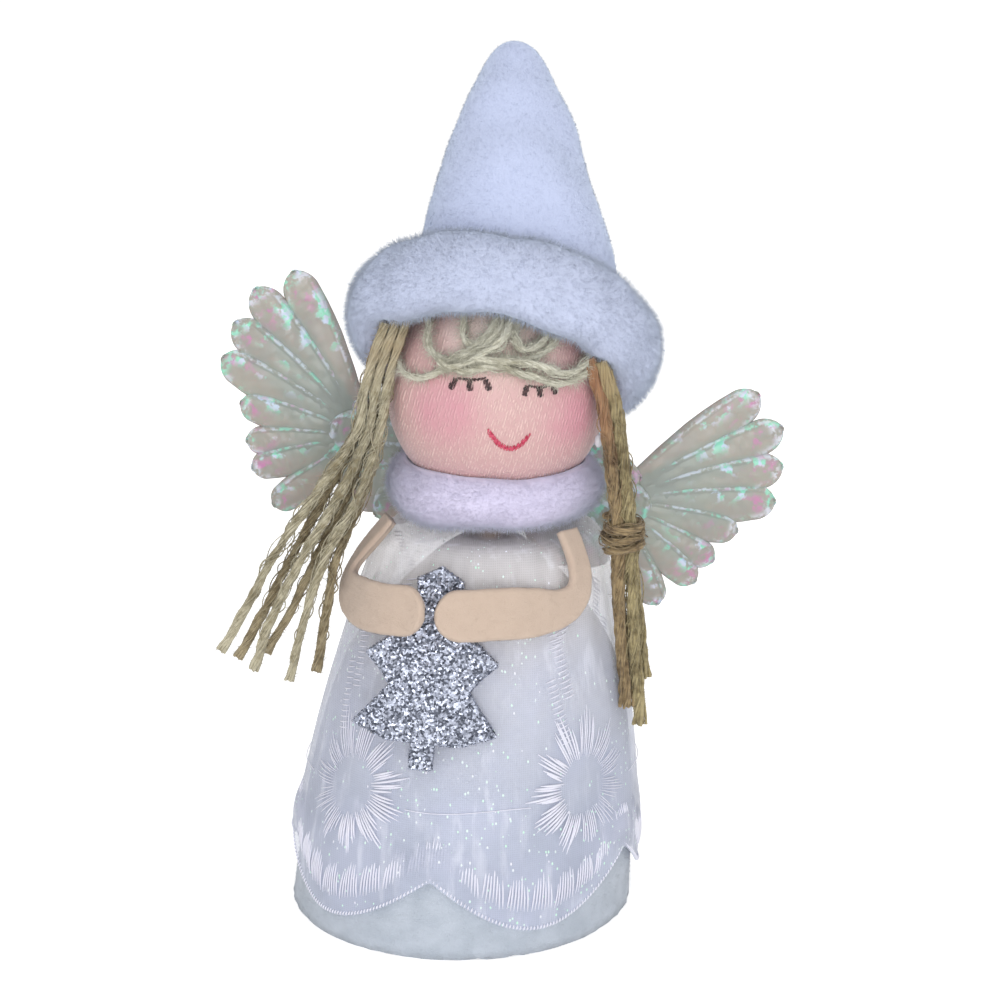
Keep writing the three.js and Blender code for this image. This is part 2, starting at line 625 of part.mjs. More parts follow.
function hatCone() {
  const outline = HAT_SHARES.map(([r, h]) => [r * HAT_RADIUS, h * HAT_HEIGHT]);
  outline[0][1] = HAT_SEAT;
  const inner = inset(outline, HAT_PLUSH).filter(([radius]) => radius > HAT_PLUSH);
  inner[0][1] = HAT_SEAT;
  const shell = [...outline, [0, HAT_HEIGHT], [0, inner.at(-1)[1] + HAT_PLUSH / 2], ...inner.reverse()];
  const cone = turned([...shell, outline[0]], SKIRT_SEGMENTS);
  return cone.applyMatrix4(new THREE.Matrix4().makeShear(
    0, 0, 0, 0, HAT_LEAN_SIDE / HAT_HEIGHT, HAT_LEAN_BACK / HAT_HEIGHT,
  )).translate(HAT_SHIFT, 0, 0);
}

function hatBrim() {
  const outline = ringOutline(BRIM_RING, BRIM_HALF_WIDTH, BRIM_HALF_HEIGHT, RING_CORNERS);
  const hollow = ball(HEAD_RADIUS + 2 * FIT + JUTE, headInHat);
  const fur = cut(turned(outline, SKIRT_SEGMENTS), hollow);
  const intoHat = hat.matrix.clone().invert();
  const right = tube(RIGHT_CHANNEL, RIGHT_CHANNEL_WIDTH).applyMatrix4(intoHat);
  const left = tube(LEFT_CHANNEL, LEFT_CHANNEL_WIDTH).applyMatrix4(intoHat);
  return cut(cut(fur, right), left);
}

add('hat_cone', hatCone(), PLUSH, hat);
add('hat_brim', hatBrim(), FUR, hat);

// Fringe: the strand's way over the forehead swings from side to side like a river's
const fringe = new THREE.Group();
fringe.position.copy(headMiddle);
fringe.rotation.set(-degrees(FRINGE_TILT), degrees(FRINGE_ROLL), 0, 'YXZ');
part.add(fringe);

function hairFringe() {
  const steps = FRINGE_LOOPS * LOOP_STEPS;
  const step = FRINGE_LOOP_LENGTH / LOOP_STEPS;
  const radius = HEAD_RADIUS + FIT + JUTE / 2;
  const [middles, outwards] = [[], []];
  let [across, up] = [0, -FRINGE_LOOP_LENGTH * FRINGE_DIP_SHARE];
  for (let i = 0; i <= steps; i += 1) {
    const outward = onHead(
      FRINGE_START + THREE.MathUtils.radToDeg(across / radius),
      FRINGE_MIDDLE + THREE.MathUtils.radToDeg(up / radius),
    );
    outwards.push(outward);
    middles.push(outward.clone().multiplyScalar(radius));
    const heading = degrees(FRINGE_SWING) * Math.sin((2 * Math.PI * (i + 0.5)) / LOOP_STEPS);
    across += step * Math.cos(heading);
    up += step * Math.sin(heading);
  }
  return woundTube('hair_fringe', middles, outwards, JUTE);
}

add('hair_fringe', hairFringe(), FRINGE_JUTE, fringe);

// Pigtails
RIGHT_STRANDS.forEach((route, i) => add(`right_pigtail_strand_${i + 1}`, tube(route, JUTE), JUTE_LOOK));
LEFT_STRANDS.forEach((route, i) => add(`left_pigtail_strand_${i + 1}`, tube(route, JUTE), JUTE_LOOK));

function pigtailTie() {
  const tied = LEFT_STRANDS.map((route) => new THREE.Vector3(...route[TIE_PLACE]));
  const middle = tied.reduce((sum, place) => sum.add(place), new THREE.Vector3()).divideScalar(tied.length);
  const bundle = Math.max(...tied.map((place) => place.distanceTo(middle))) + JUTE / 2;
  const radius = bundle + TIE_SLACK + FIT + TIE_JUTE / 2;
  const { middles, outwards } = helix(radius, TIE_PITCH, TIE_TURNS, LOOP_STEPS);
  const winding = woundTube('left_pigtail_tie', middles, outwards, TIE_JUTE);
  return winding.translate(middle.x, middle.y, middle.z);
}

add('left_pigtail_tie', pigtailTie(), JUTE_LOOK);

// Wings, each one piece of film with eight feathers and a row of coverts
const wings = new THREE.Group();
wings.position.set(
  HEAD_SHIFT,
  COLLAR_RING + COLLAR_HALF_WIDTH + FIT + WING_FILM,
  COLLAR_HEIGHT + WING_RISE,
);
wings.rotation.y = degrees(WING_ROLL);
part.add(wings);

function film(shape) {
  return new THREE.ExtrudeGeometry(shape, {
    depth: WING_FILM,
    bevelEnabled: false,
    curveSegments: FEATHER_SEGMENTS,
  }).rotateX(Math.PI / 2);
}

function featherShape(length, width) {
  const [half, foot] = [width / 2, width / 4];
  const shape = new THREE.Shape();
  shape.moveTo(0, -foot);
  shape.lineTo(length - half, -half);
  shape.absarc(length - half, 0, half, -Math.PI / 2, Math.PI / 2);
  shape.lineTo(0, foot);
  return shape;
}

function covertShape() {
  const low = FEATHER_FOOT_UP - COVERT_HEIGHT / 2;
  const points = COVERT_SHARES.map(([out, up]) => new THREE.Vector2(
    WING_FOLD + out * COVERT_SPAN,
    low + up * COVERT_HEIGHT,
  ));
  const shape = new THREE.Shape();
  shape.moveTo(WING_FOLD + FIT / 2, BRIDGE_TOP);
  shape.lineTo(WING_FOLD + FIT / 2, BRIDGE_BOTTOM);
  shape.splineThru(points);
  return shape;
}

function wing(side) {
  let whole = toSolid(film(covertShape()));
  for (const [direction, lengthShare, widthShare] of FEATHERS) {
    const feather = film(featherShape(FEATHER_LENGTH * lengthShare, FEATHER_WIDTH * widthShare));
    feather.rotateY(-degrees(direction)).translate(FEATHER_FOOT_OUT, 0, FEATHER_FOOT_UP);
    whole = whole.add(toSolid(feather));
  }
  return fromSolid(whole).scale(side, 1, 1);
}

function wingBridge() {
  const width = 2 * WING_FOLD - FIT;
  const height = BRIDGE_TOP - BRIDGE_BOTTOM;
  return new THREE.BoxGeometry(width, WING_FILM, height)
    .translate(0, -WING_FILM / 2, (BRIDGE_TOP + BRIDGE_BOTTOM) / 2);
}

add('wing_bridge', wingBridge(), WING_LOOK, wings);
add('left_wing', wing(1), WING_LOOK, wings);
add('right_wing', wing(-1), WING_LOOK, wings);

// Drop of glue that holds the left pigtail to the cheek
function glueDrop() {
  const place = onHead(GLUE_TURN, GLUE_LIFT).multiplyScalar(HEAD_RADIUS + FIT + GLUE_RADIUS)
    .add(headMiddle);
  return new THREE.SphereGeometry(GLUE_RADIUS, GLUE_SIDES, GLUE_SIDES).rotateX(Math.PI / 2)
    .scale(1, 1, GLUE_LENGTH / (2 * GLUE_RADIUS))
    .translate(place.x, place.y, place.z);
}

add('glue_drop', glueDrop(), GLUE);

export default part;
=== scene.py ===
"""Looks of a handmade angel figurine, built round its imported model.

The doll looks along -Y and its own left side is +X. Sizes are in millimetres until a mesh is
finished, and a turn is counted in degrees from the front towards the doll's left.
"""

import logging
import math
from dataclasses import dataclass
from enum import Enum
from typing import Callable, Sequence

import bmesh
import bpy
import numpy as np
from mathutils import Matrix, Vector, noise


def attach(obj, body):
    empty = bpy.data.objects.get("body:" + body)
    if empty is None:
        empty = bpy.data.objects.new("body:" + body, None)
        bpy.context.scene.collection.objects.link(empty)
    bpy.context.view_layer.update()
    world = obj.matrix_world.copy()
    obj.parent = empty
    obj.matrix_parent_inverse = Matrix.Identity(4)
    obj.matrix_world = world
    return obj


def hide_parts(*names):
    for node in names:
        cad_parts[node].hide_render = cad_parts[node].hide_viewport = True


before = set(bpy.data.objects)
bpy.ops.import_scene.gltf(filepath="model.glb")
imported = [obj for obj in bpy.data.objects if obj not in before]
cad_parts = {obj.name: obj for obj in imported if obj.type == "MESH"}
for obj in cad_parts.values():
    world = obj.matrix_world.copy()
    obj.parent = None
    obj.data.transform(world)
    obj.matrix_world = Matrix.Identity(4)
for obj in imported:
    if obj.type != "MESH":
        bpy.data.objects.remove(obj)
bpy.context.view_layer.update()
LOG = logging.getLogger("angel_figurine")
MM = 0.001

Colour = tuple[float, float, float]
Point = tuple[float, float, float]
Outline = Sequence[tuple[float, float]]
Keep = Callable[[np.ndarray], np.ndarray]
Socket = bpy.types.NodeSocket
Shape = bmesh.types.BMesh


class Body(Enum):
    """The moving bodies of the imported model."""

    FIGURE = "figure"
    LEFT_WING = "left_wing"
    RIGHT_WING = "right_wing"


def shade(red: int, green: int, blue: int) -> Colour:
    """The linear colour of an 8-bit screen colour."""
    shares = [value / 255 for value in (red, green, blue)]
    return tuple(s / 12.92 if s <= 0.04045 else ((s + 0.055) / 1.055) ** 2.4 for s in shares)


# Materials

# The wave texture turns through this many radians in each unit.
WAVE_TURN = 20


class Paint:
    """A node material under construction."""

    def __init__(self, name: str) -> None:
        """Starts a material with its main shader.

        Args:
            name: The material's name.
        """
        self.material = bpy.data.materials.new(name)
        self.material.use_nodes = True
        self.tree = self.material.node_tree
        self.shader = self.tree.nodes["Principled BSDF"]
        self.place = self.node("ShaderNodeTexCoord").outputs["Object"]

    def node(self, kind: str, **settings: object) -> bpy.types.Node:
        """Adds a node.

        Args:
            kind: The node's type.
            settings: Its properties.

        Returns:
            The new node.
        """
        made = self.tree.nodes.new(kind)
        for name, value in settings.items():
            setattr(made, name, value)
        return made

    def feed(self, socket: Socket, source: object) -> None:
        """Links an output to a socket, or sets the socket to a value.

        Args:
            socket: The socket to feed.
            source: An output, a number or a colour.
        """
        if isinstance(source, bpy.types.NodeSocket):
            self.tree.links.new(source, socket)
        elif socket.type == "RGBA":
            socket.default_value = (*source, 1)
        else:
            socket.default_value = source

    def filled(self, node: bpy.types.Node, **sockets: object) -> bpy.types.Node:
        """Feeds sockets of a node.

        Args:
            node: The node.
            sockets: What each socket gets, with _ in a name for a space.

        Returns:
            The same node.
        """
        for name, source in sockets.items():
            self.feed(node.inputs[name.replace("_", " ")], source)
        return node

    def values(self, **sockets: object) -> None:
        """Feeds sockets of the main shader, named with _ for a space."""
        self.filled(self.shader, **sockets)

    def colour(self, source: object) -> None:
        """Gives the main shader its colour."""
        self.values(Base_Color=source)

    def bumps(self, height: object, depth: float, strength: float = 1) -> None:
        """Raises the surface by a height from 0 to 1, by a depth in millimetres at most."""
        made = self.filled(self.node("ShaderNodeBump"), Strength=strength, Distance=depth * MM, Height=height)
        self.values(Normal=made.outputs["Normal"])

    def stretched(self, scale: Point, turn: Point = (0, 0, 0), vector: object = None) -> Socket:
        """A place, turned and scaled by a Mapping node.

        Args:
            scale: The scale along each axis.
            turn: The turn about each axis, in degrees.
            vector: The place that it changes, or the object's own.

        Returns:
            The mapped place.
        """
        angles = [math.radians(angle) for angle in turn]
        mapping = self.node("ShaderNodeMapping")
        self.filled(mapping, Vector=vector or self.place, Scale=scale, Rotation=angles)
        return mapping.outputs["Vector"]

    def uv(self, scale: Point) -> Socket:
        """The piece's own UV place, scaled."""
        return self.stretched(scale, vector=self.node("ShaderNodeTexCoord").outputs["UV"])

    def height(self) -> Socket:
        """How high the place is on the object."""
        return self.filled(self.node("ShaderNodeSeparateXYZ"), Vector=self.place).outputs["Z"]

    def attribute(self, name: str) -> Socket:
        """The value that a mesh stores under a name."""
        return self.node("ShaderNodeAttribute", attribute_name=name).outputs["Fac"]

    def noise(self, scale: float, detail: float = 3, vector: object = None) -> Socket:
        """A noise from 0 to 1, with about scale waves in a metre and detail finer ones."""
        made = self.node("ShaderNodeTexNoise")
        return self.filled(made, Vector=vector or self.place, Scale=scale, Detail=detail).outputs["Fac"]

    def cells(self, scale: float, output: str = "Distance", vector: object = None) -> Socket:
        """Voronoi cells: the Distance from a cell's middle, or its random Color."""
        made = self.node("ShaderNodeTexVoronoi")
        return self.filled(made, Vector=vector or self.place, Scale=scale).outputs[output]

    def bands(self, pitch: float, axis: str, vector: object = None, wander: float = 0) -> Socket:
        """Even threads across an axis.

        Args:
            pitch: From one thread to the next, in the vector's units.
            axis: X, Y or Z.
            vector: The place that it reads, or the object's own.
            wander: How far noise bends the threads.

        Returns:
            A wave from 0 to 1.
        """
        made = self.node("ShaderNodeTexWave", bands_direction=axis)
        scale = math.tau / (WAVE_TURN * pitch)
        self.filled(made, Vector=vector or self.place, Scale=scale, Distortion=wander, Detail=1)
        return made.outputs["Fac"]

    def spread(self, value: object, low: float, high: float, to_low: float = 0, to_high: float = 1) -> Socket:
        """Maps a range smoothly onto another and clamps it.

        Args:
            value: The number to map.
            low: Where the range starts.
            high: Where the range ends.
            to_low: What the start becomes.
            to_high: What the end becomes.

        Returns:
            The mapped number.
        """
        made = self.node("ShaderNodeMapRange", interpolation_type="SMOOTHSTEP")
        self.filled(made, Value=value, From_Min=low, From_Max=high, To_Min=to_low, To_Max=to_high)
        return made.outputs["Result"]

    def maths(self, operation: str, first: object, second: object) -> Socket:
        """An operation on two numbers.

        Args:
            operation: The Math node's operation.
            first: A number or an output.
            second: A number or an output.

        Returns:
            The result.
        """
        made = self.node("ShaderNodeMath", operation=operation)
        self.feed(made.inputs[0], first)
        self.feed(made.inputs[1], second)
        return made.outputs["Value"]

    def plus(self, first: object, second: object) -> Socket:
        """The sum of two numbers."""
        return self.maths("ADD", first, second)

    def times(self, first: object, second: object) -> Socket:
        """The product of two numbers."""
        return self.maths("MULTIPLY", first, second)

    def vectors(self, operation: str, first: object, second: object = (0, 0, 0)) -> Socket:
        """An operation on two vectors.

        Args:
            operation: The Vector Math node's operation.
            first: A vector or an output.
            second: A vector or an output.

        Returns:
            The result: a number for a distance, and else a vector.
        """
        made = self.node("ShaderNodeVectorMath", operation=operation)
        self.feed(made.inputs[0], first)
        self.feed(made.inputs[1], second)
        return made.outputs["Value" if operation == "DISTANCE" else "Vector"]

    def blend(self, share: object, first: object, second: object) -> Socket:
        """A mix of two colours.

        Args:
            share: How much of the second there is.
            first: A colour or an output.
            second: A colour or an output.

        Returns:
            The mixed colour.
        """
        made = self.filled(self.node("ShaderNodeMix", data_type="RGBA"), Factor=share)
        self.feed(made.inputs[6], first)
        self.feed(made.inputs[7], second)
        return made.outputs[2]

    def channels(self, colour: Socket) -> bpy.types.Node:
        """A node that splits a colour into Red, Green and Blue."""
        return self.filled(self.node("ShaderNodeSeparateColor"), Color=colour)


@dataclass(frozen=True)
class Finish:
    """A surface that pieces can be dressed in."""

    name: str

    def material(self) -> bpy.types.Material:
        """Finds this finish's material, or makes it at its first use.

        Returns:
            The material.
        """
        name = "look_" + self.name
        if name not in bpy.data.materials:
            self.made(Paint(name))
        return bpy.data.materials[name]

    def made(self, paint: Paint) -> None:
        """Builds the finish on a new material."""
        raise NotImplementedError


@dataclass(frozen=True)
class Felt(Finish):
    """Pressed felt with a matted nap."""

    base: Colour
    deep: Colour
    # upper: the colour towards the top; on the white skirt it is painted light that brightens its shaded top,
    # on the arms the felt's own colour
    upper: Colour
    nap: float = 0.25
    upper_from: float = 12
    upper_to: float = 50

    def made(self, paint: Paint) -> None:
        """Builds cloudy colour, matted fibres and the upper colour towards the top, which on the white skirt
        is painted light.

        Args:
            paint: The material under construction.
        """
        paint.values(Roughness=0.95, Sheen_Weight=0.25, Sheen_Roughness=0.6)
        clouds = paint.spread(paint.noise(260, 4), 0.3, 0.7)
        fibres = paint.noise(1500, 5, paint.stretched((1, 0.35, 1), (20, 0, 35)))
        mat = paint.times(paint.noise(5200, 4), fibres)
        specks = paint.spread(mat, 0.16, 0.34)
        # towards the top the colour turns to upper, which on the white skirt is painted light
        upper = paint.spread(paint.height(), self.upper_from * MM, self.upper_to * MM)
        cloudy = paint.blend(upper, paint.blend(clouds, self.deep, self.base), self.upper)
        paint.colour(paint.blend(paint.times(specks, 0.22), cloudy, self.base))
        paint.bumps(mat, self.nap)


# The slant of the satin's ribs and the distance between them
RIB_TURN = (0, -16, 0)
RIB_PITCH = 0.45


def satin_ribs(paint: Paint) -> Socket:
    """The ribs of the face's satin, which its ink shares."""
    return paint.bands(RIB_PITCH * MM, "X", paint.stretched((1, 1, 1), RIB_TURN), 1.6)


@dataclass(frozen=True)
class Satin(Finish):
    """The face's fine ribbed satin, with rouge on both cheeks, painted light on the brow, and ribs that are
    lighter partly in their thread and partly by painted sheen.

    A patch is a middle, in metres, with a radius, in millimetres.
    """

    base: Colour
    # light: the ribs' colour, partly their own thread and partly painted sheen
    light: Colour
    rouge: Colour
    # pale: painted light that brightens the brow patch, where the brim casts its shade
    pale: Colour
    cheeks: tuple[tuple[Vector, float], ...]
    lit_brow: tuple[Vector, float]

    def near(self, paint: Paint, patch: tuple[Vector, float]) -> Socket:
        """How near a place is to the middle of a patch, from 0 at its radius to 1."""
        middle, radius = patch
        return paint.spread(paint.vectors("DISTANCE", paint.place, middle), radius * MM, 0.15 * radius * MM)

    def made(self, paint: Paint) -> None:
        """Builds the ribs with their partly painted sheen, the rouge, the painted light on the brow and the
        sheen.

        Args:
            paint: The material under construction.
        """
        paint.values(Roughness=0.42, Sheen_Weight=0.3, Sheen_Roughness=0.4)
        dashes = paint.spread(paint.noise(2300, 2, paint.stretched((1, 1, 0.4), RIB_TURN)), 0.42, 0.6)
        weave = paint.times(satin_ribs(paint), dashes)
        mottle = paint.spread(paint.spread(paint.noise(110, 3), 0.3, 0.75), 0, 1, 0.5, 0.8)
        # the ribs turn lighter, partly by their thread and partly by painted sheen
        cloth = paint.blend(weave, self.base, self.light)
        # painted light on the brow, where the brim's shade falls
        cloth = paint.blend(self.near(paint, self.lit_brow), cloth, self.pale)
        for cheek in self.cheeks:
            cloth = paint.blend(paint.times(self.near(paint, cheek), mottle), cloth, self.rouge)
        paint.colour(cloth)
        paint.bumps(weave, 0.12, 0.8)


@dataclass(frozen=True)
class Organza(Finish):
    """Sheer woven organza with fine bright flecks, whose sparkle is painted, with painted light towards its
    top and partly painted shine on its crinkles.
    """

    base: Colour
    # painted light that brightens the gathered top over the shaded felt dome
    lit_yoke: Colour
    # the crinkles' whiter colour: partly the doubled cloth, partly painted shine
    crease: Colour = shade(240, 242, 252)
    # mint and pearl: the flecks' colours, shiny threads with their sparkle painted in
    mint: Colour = shade(205, 248, 226)
    pearl: Colour = shade(245, 243, 255)
    pitch: float = 0.34
    grain: float = 2300

    def made(self, paint: Paint) -> None:
        """Builds the open weave, the crinkles with their partly painted shine, the flecks with their painted
        sparkle and the painted light towards the top.

        Args:
            paint: The material under construction.
        """
        paint.values(Roughness=0.38, Sheen_Weight=0.2)
        weave = paint.maths("MAXIMUM", *(paint.bands(self.pitch * MM, axis, None, 1.5) for axis in "XZ"))
        height = paint.height()
        # how far the painted light on the top has grown in
        upper = paint.spread(height, 42 * MM, 60 * MM)
        thick = paint.spread(height, 44 * MM, 56 * MM, 1, 0.86)
        milk = paint.times(thick, paint.spread(paint.noise(70, 3), 0.35, 0.7, 0.42, 0.66))
        crinkle = paint.spread(paint.noise(480, 4, paint.stretched((1, 1, 0.16))), 0.52, 0.72)
        cover = paint.plus(paint.plus(milk, paint.times(weave, 0.1)), paint.times(crinkle, 0.12))
        # flecks of shiny thread, whose sparkle is painted into their colour
        flecks = paint.stretched((1, 1, 0.62), (0, 25, 0))
        chance = paint.channels(paint.cells(self.grain, "Color", flecks))
        crowd = paint.spread(paint.noise(60, 2), 0.4, 0.68, 0.985, 0.84)
        chosen = paint.maths("GREATER_THAN", chance.outputs["Red"], crowd)
        fleck = paint.times(chosen, paint.spread(paint.cells(self.grain, "Distance", flecks), 0.46, 0.3))
        tint = paint.blend(chance.outputs["Green"], self.mint, self.pearl)
        # painted light towards the top
        cloth = paint.blend(upper, self.base, self.lit_yoke)
        # the crinkles turn whiter, partly by doubled cloth and partly by painted shine
        cloth = paint.blend(paint.times(crinkle, 0.35), cloth, self.crease)
        paint.colour(paint.blend(fleck, cloth, tint))
        paint.values(Alpha=paint.maths("MAXIMUM", cover, paint.times(fleck, 0.95)))
        paint.bumps(paint.plus(weave, crinkle), 0.04, 0.7)


@dataclass(frozen=True)
class Fur(Finish):
    """White fibres of fur or plush, with painted shade that makes them a little darker at the root."""

    # root: painted shade at the roots, where the coat shades itself
    root: Colour
    tip: Colour

    def made(self, paint: Paint) -> None:
        """Builds the painted shade along each fibre, darker at the root, and the soft patches of the coat.

        Args:
            paint: The material under construction.
        """
        paint.values(Roughness=0.9, Sheen_Weight=0.9, Sheen_Roughness=0.45, Sheen_Tint=(0.74, 0.85, 1))
        patches = paint.spread(paint.noise(230, 3), 0.3, 0.7, 0.75, 1)
        along = paint.times(paint.spread(paint.attribute("tip"), 0, 0.8), patches)
        paint.colour(paint.blend(along, self.root, self.tip))
        paint.bumps(paint.noise(2400, 3), 0.12, 0.5)


@dataclass(frozen=True)
class Jute(Finish):
    """Dry twine of coarse fibres, which turns redder up to a height."""

    pale: Colour
    dark: Colour
    top: Colour
    top_height: float = 1000
    top_depth: float = 12

    def made(self, paint: Paint) -> None:
        """Builds streaks along the strand, patches of colour and a redder top.

        Args:
            paint: The material under construction.
        """
        paint.values(Roughness=0.8, Sheen_Weight=0.2)
        streaks = paint.noise(1, 4, paint.uv((26, 5, 1)))
        fine = paint.noise(1, 3, paint.uv((60, 16, 1)))
        patches = paint.noise(150, 3)
        mixed = paint.plus(paint.times(streaks, 0.4), paint.times(patches, 0.3))
        mixed = paint.plus(mixed, paint.times(paint.noise(1100, 2), 0.3))
        jute = paint.blend(paint.spread(mixed, 0.36, 0.6), self.dark, self.pale)
        height = paint.spread(paint.height(), (self.top_height - self.top_depth) * MM, self.top_height * MM)
        redder = paint.times(height, paint.spread(patches, 0.35, 0.65, 0.3, 1))
        paint.colour(paint.blend(redder, jute, self.top))
        paint.bumps(paint.plus(streaks, fine), 0.12)


@dataclass(frozen=True)
class Glitter(Finish):
    """Silver glitter glued over foam."""

    dark: Colour
    bright: Colour
    grain: float
    tilt: float = 0.9

    def made(self, paint: Paint) -> None:
        """Builds flakes that each have their own tilt and brightness.

        Args:
            paint: The material under construction.
        """
        paint.values(Metallic=0.75, Roughness=0.28, Specular_IOR_Level=0.7)
        flake = paint.cells(self.grain, "Color")
        lit = paint.spread(paint.channels(flake).outputs["Red"], 0.2, 0.9)
        paint.colour(paint.blend(lit, self.dark, self.bright))
        tilt = paint.vectors("MULTIPLY", paint.vectors("SUBTRACT", flake, (0.5,) * 3), (self.tilt,) * 3)
        normal = paint.node("ShaderNodeNewGeometry").outputs["Normal"]
        paint.values(Normal=paint.vectors("NORMALIZE", paint.vectors("ADD", normal, tilt)))


@dataclass(frozen=True)
class Film(Finish):
    """Milky pearl film, with the glints of its iridescence painted along its creases, near its tips and at
    its tips.
    """

    base: Colour
    milk: Colour
    # mint, ice and rose: painted glints along the creases
    mint: Colour = shade(150, 232, 206)
    ice: Colour = shade(222, 228, 240)
    rose: Colour = shade(214, 176, 206)
    # painted rose glint at the feather tips
    tip_glint_tint: Colour = shade(202, 140, 184)
    # sea and pearl: painted glint patches near the tips
    sea: Colour = shade(150, 232, 204)
    pearl: Colour = shade(212, 224, 244)

    def made(self, paint: Paint) -> None:
        """Builds the milky film and its painted glints: mint and rose along the creases, mint and pearl
        patches near the tips, rose at the tips.

        Args:
            paint: The material under construction.
        """
        paint.values(Roughness=0.4, Coat_Weight=0.25, Coat_Roughness=0.2, Specular_IOR_Level=0.5, Alpha=0.93)
        paint.values(Thin_Film_Thickness=340.0, Thin_Film_IOR=1.5)
        paint.values(Subsurface_Weight=0.15, Subsurface_Scale=0.002)
        film = paint.blend(paint.spread(paint.noise(90, 3), 0.3, 0.7), self.base, self.milk)
        # painted rose glint at each feather's tip
        tip_glint = paint.times(paint.attribute("tip_glint"), paint.spread(paint.noise(520, 3), 0.52, 0.66))
        film = paint.blend(tip_glint, film, self.tip_glint_tint)
        # painted glint patches along the upper edge near each tip
        pearl = paint.blend(paint.spread(paint.noise(700, 2), 0.46, 0.56), self.sea, self.pearl)
        patchy = paint.spread(paint.noise(330, 4), 0.53, 0.6)
        film = paint.blend(paint.times(paint.attribute("sheen"), patchy), film, pearl)
        # painted glints along the ridges and rims of the creases
        hues = paint.noise(260, 2, paint.stretched((1, 1, 1), (0, 30, 0)))
        mint = paint.blend(paint.spread(hues, 0.4, 0.47), self.mint, self.ice)
        glint = paint.blend(paint.spread(hues, 0.6, 0.66), mint, self.rose)
        broken = paint.spread(paint.noise(1000, 3), 0.42, 0.58)
        paint.colour(paint.blend(paint.times(paint.attribute("crease"), broken), film, glint))
        paint.bumps(paint.noise(700, 4), 0.06, 0.5)


@dataclass(frozen=True)
class Thread(Finish):
    """Glossy embroidery thread."""

    base: Colour
    gloss: float = 0.35

    def made(self, paint: Paint) -> None:
        """Builds a twisted thread.

        Args:
            paint: The material under construction.
        """
        paint.values(Roughness=self.gloss, Sheen_Weight=0.4)
        twist = paint.noise(1, 2, paint.uv((14, 3, 1)))
        paint.colour(paint.blend(twist, tuple(0.86 * part for part in self.base), self.base))
        paint.bumps(twist, 0.03)


@dataclass(frozen=True)
class Ink(Finish):
    """Pen or paint that sits in the threads of the satin."""

    base: Colour
    worn: Colour

    def made(self, paint: Paint) -> None:
        """Builds ink that the weave breaks up.

        Args:
            paint: The material under construction.
        """
        paint.values(Roughness=0.6)
        paint.colour(paint.blend(paint.spread(paint.noise(2100, 2), 0.4, 0.6), self.base, self.worn))
        taken = paint.plus(paint.times(satin_ribs(paint), 0.35), paint.noise(2600, 2))
        edge = paint.attribute("edge")
        solid = paint.maths("MAXIMUM", paint.spread(taken, 0.86, 0.66), paint.spread(edge, 0.6, 1.2))
        paint.values(Alpha=paint.times(solid, paint.spread(edge, 0.05, 0.5)))


@dataclass(frozen=True)
class Plain(Finish):
    """A quiet surface with a fine grain, for card, foam, wood and glue."""

    base: Colour
    deep: Colour
    roughness: float
    scale: Point = (1, 1, 1)
    depth: float = 0.05

    def made(self, paint: Paint) -> None:
        """Builds the grain.

        Args:
            paint: The material under construction.
        """
        paint.values(Roughness=self.roughness)
        grain = paint.noise(900, 4, paint.stretched(self.scale))
        paint.colour(paint.blend(paint.spread(grain, 0.3, 0.7), self.deep, self.base))
        paint.bumps(grain, self.depth)


# The white felt's third colour is painted light that brightens the skirt's top in the shade of the collar,
# arms and organza.
WHITE_FELT = Felt("white_felt", shade(193, 201, 213), shade(178, 187, 199), shade(250, 246, 240))
ARM_FELT = Felt("peach_felt", shade(206, 185, 168), shade(194, 171, 151), shade(202, 181, 164), 0.18)
# The organza's second colour is painted light for its gathered top.
ORGANZA = Organza("organza", shade(203, 209, 231), shade(234, 231, 235))
FUR = Fur("fur", shade(198, 206, 231), shade(204, 212, 236))
COLLAR_FUR = Fur("collar_fur", shade(223, 216, 242), shade(229, 223, 248))
PLUSH = Fur("plush", shade(196, 205, 234), shade(201, 211, 240))
JUTE = Jute("jute", shade(200, 193, 168), shade(138, 127, 98), shade(172, 154, 122), 98)
DEEP_JUTE = Jute("deep_jute", shade(180, 166, 134), shade(116, 100, 70), shade(162, 126, 92), 98)
TAIL_JUTE = Jute("tail_jute", shade(168, 146, 108), shade(94, 74, 48), shade(162, 118, 86), 84)
PALE_TAIL_JUTE = Jute("pale_tail_jute", shade(180, 166, 124), shade(106, 92, 60), shade(172, 152, 114), 90)
FRINGE_JUTE = Jute("fringe_jute", shade(232, 230, 214), shade(180, 176, 154), shade(206, 200, 180))
GLITTER = Glitter("glitter", shade(100, 105, 119), shade(212, 218, 236), 3000)
FILM = Film("pearl_film", shade(158, 163, 155), shade(170, 172, 161))
EMBROIDERY = Thread("embroidery_thread", shade(242, 242, 255))
NECK_COTTON = Thread("neck_cotton", shade(226, 226, 230), 0.8)
LASH_INK = Ink("lash_ink", shade(38, 24, 26), shade(80, 54, 56))
LIP_INK = Ink("lip_ink", shade(172, 32, 66), shade(206, 82, 108))
CARD = Plain("card", shade(228, 226, 220), shade(208, 205, 196), 0.9)
FOAM = Plain("foam", shade(240, 240, 240), shade(228, 228, 230), 0.9, depth=0.2)
WOOD = Plain("peg_wood", shade(201, 168, 120), shade(168, 132, 88), 0.7, (1, 1, 0.08))
GLUE = Plain("dried_glue", shade(238, 240, 246), shade(224, 228, 238), 0.12, depth=0.02)


# Meshes


def unit(rows: np.ndarray) -> np.ndarray:
    """The rows of an array, each made one long."""
    return rows / np.linalg.norm(rows, axis=1)[:, None]


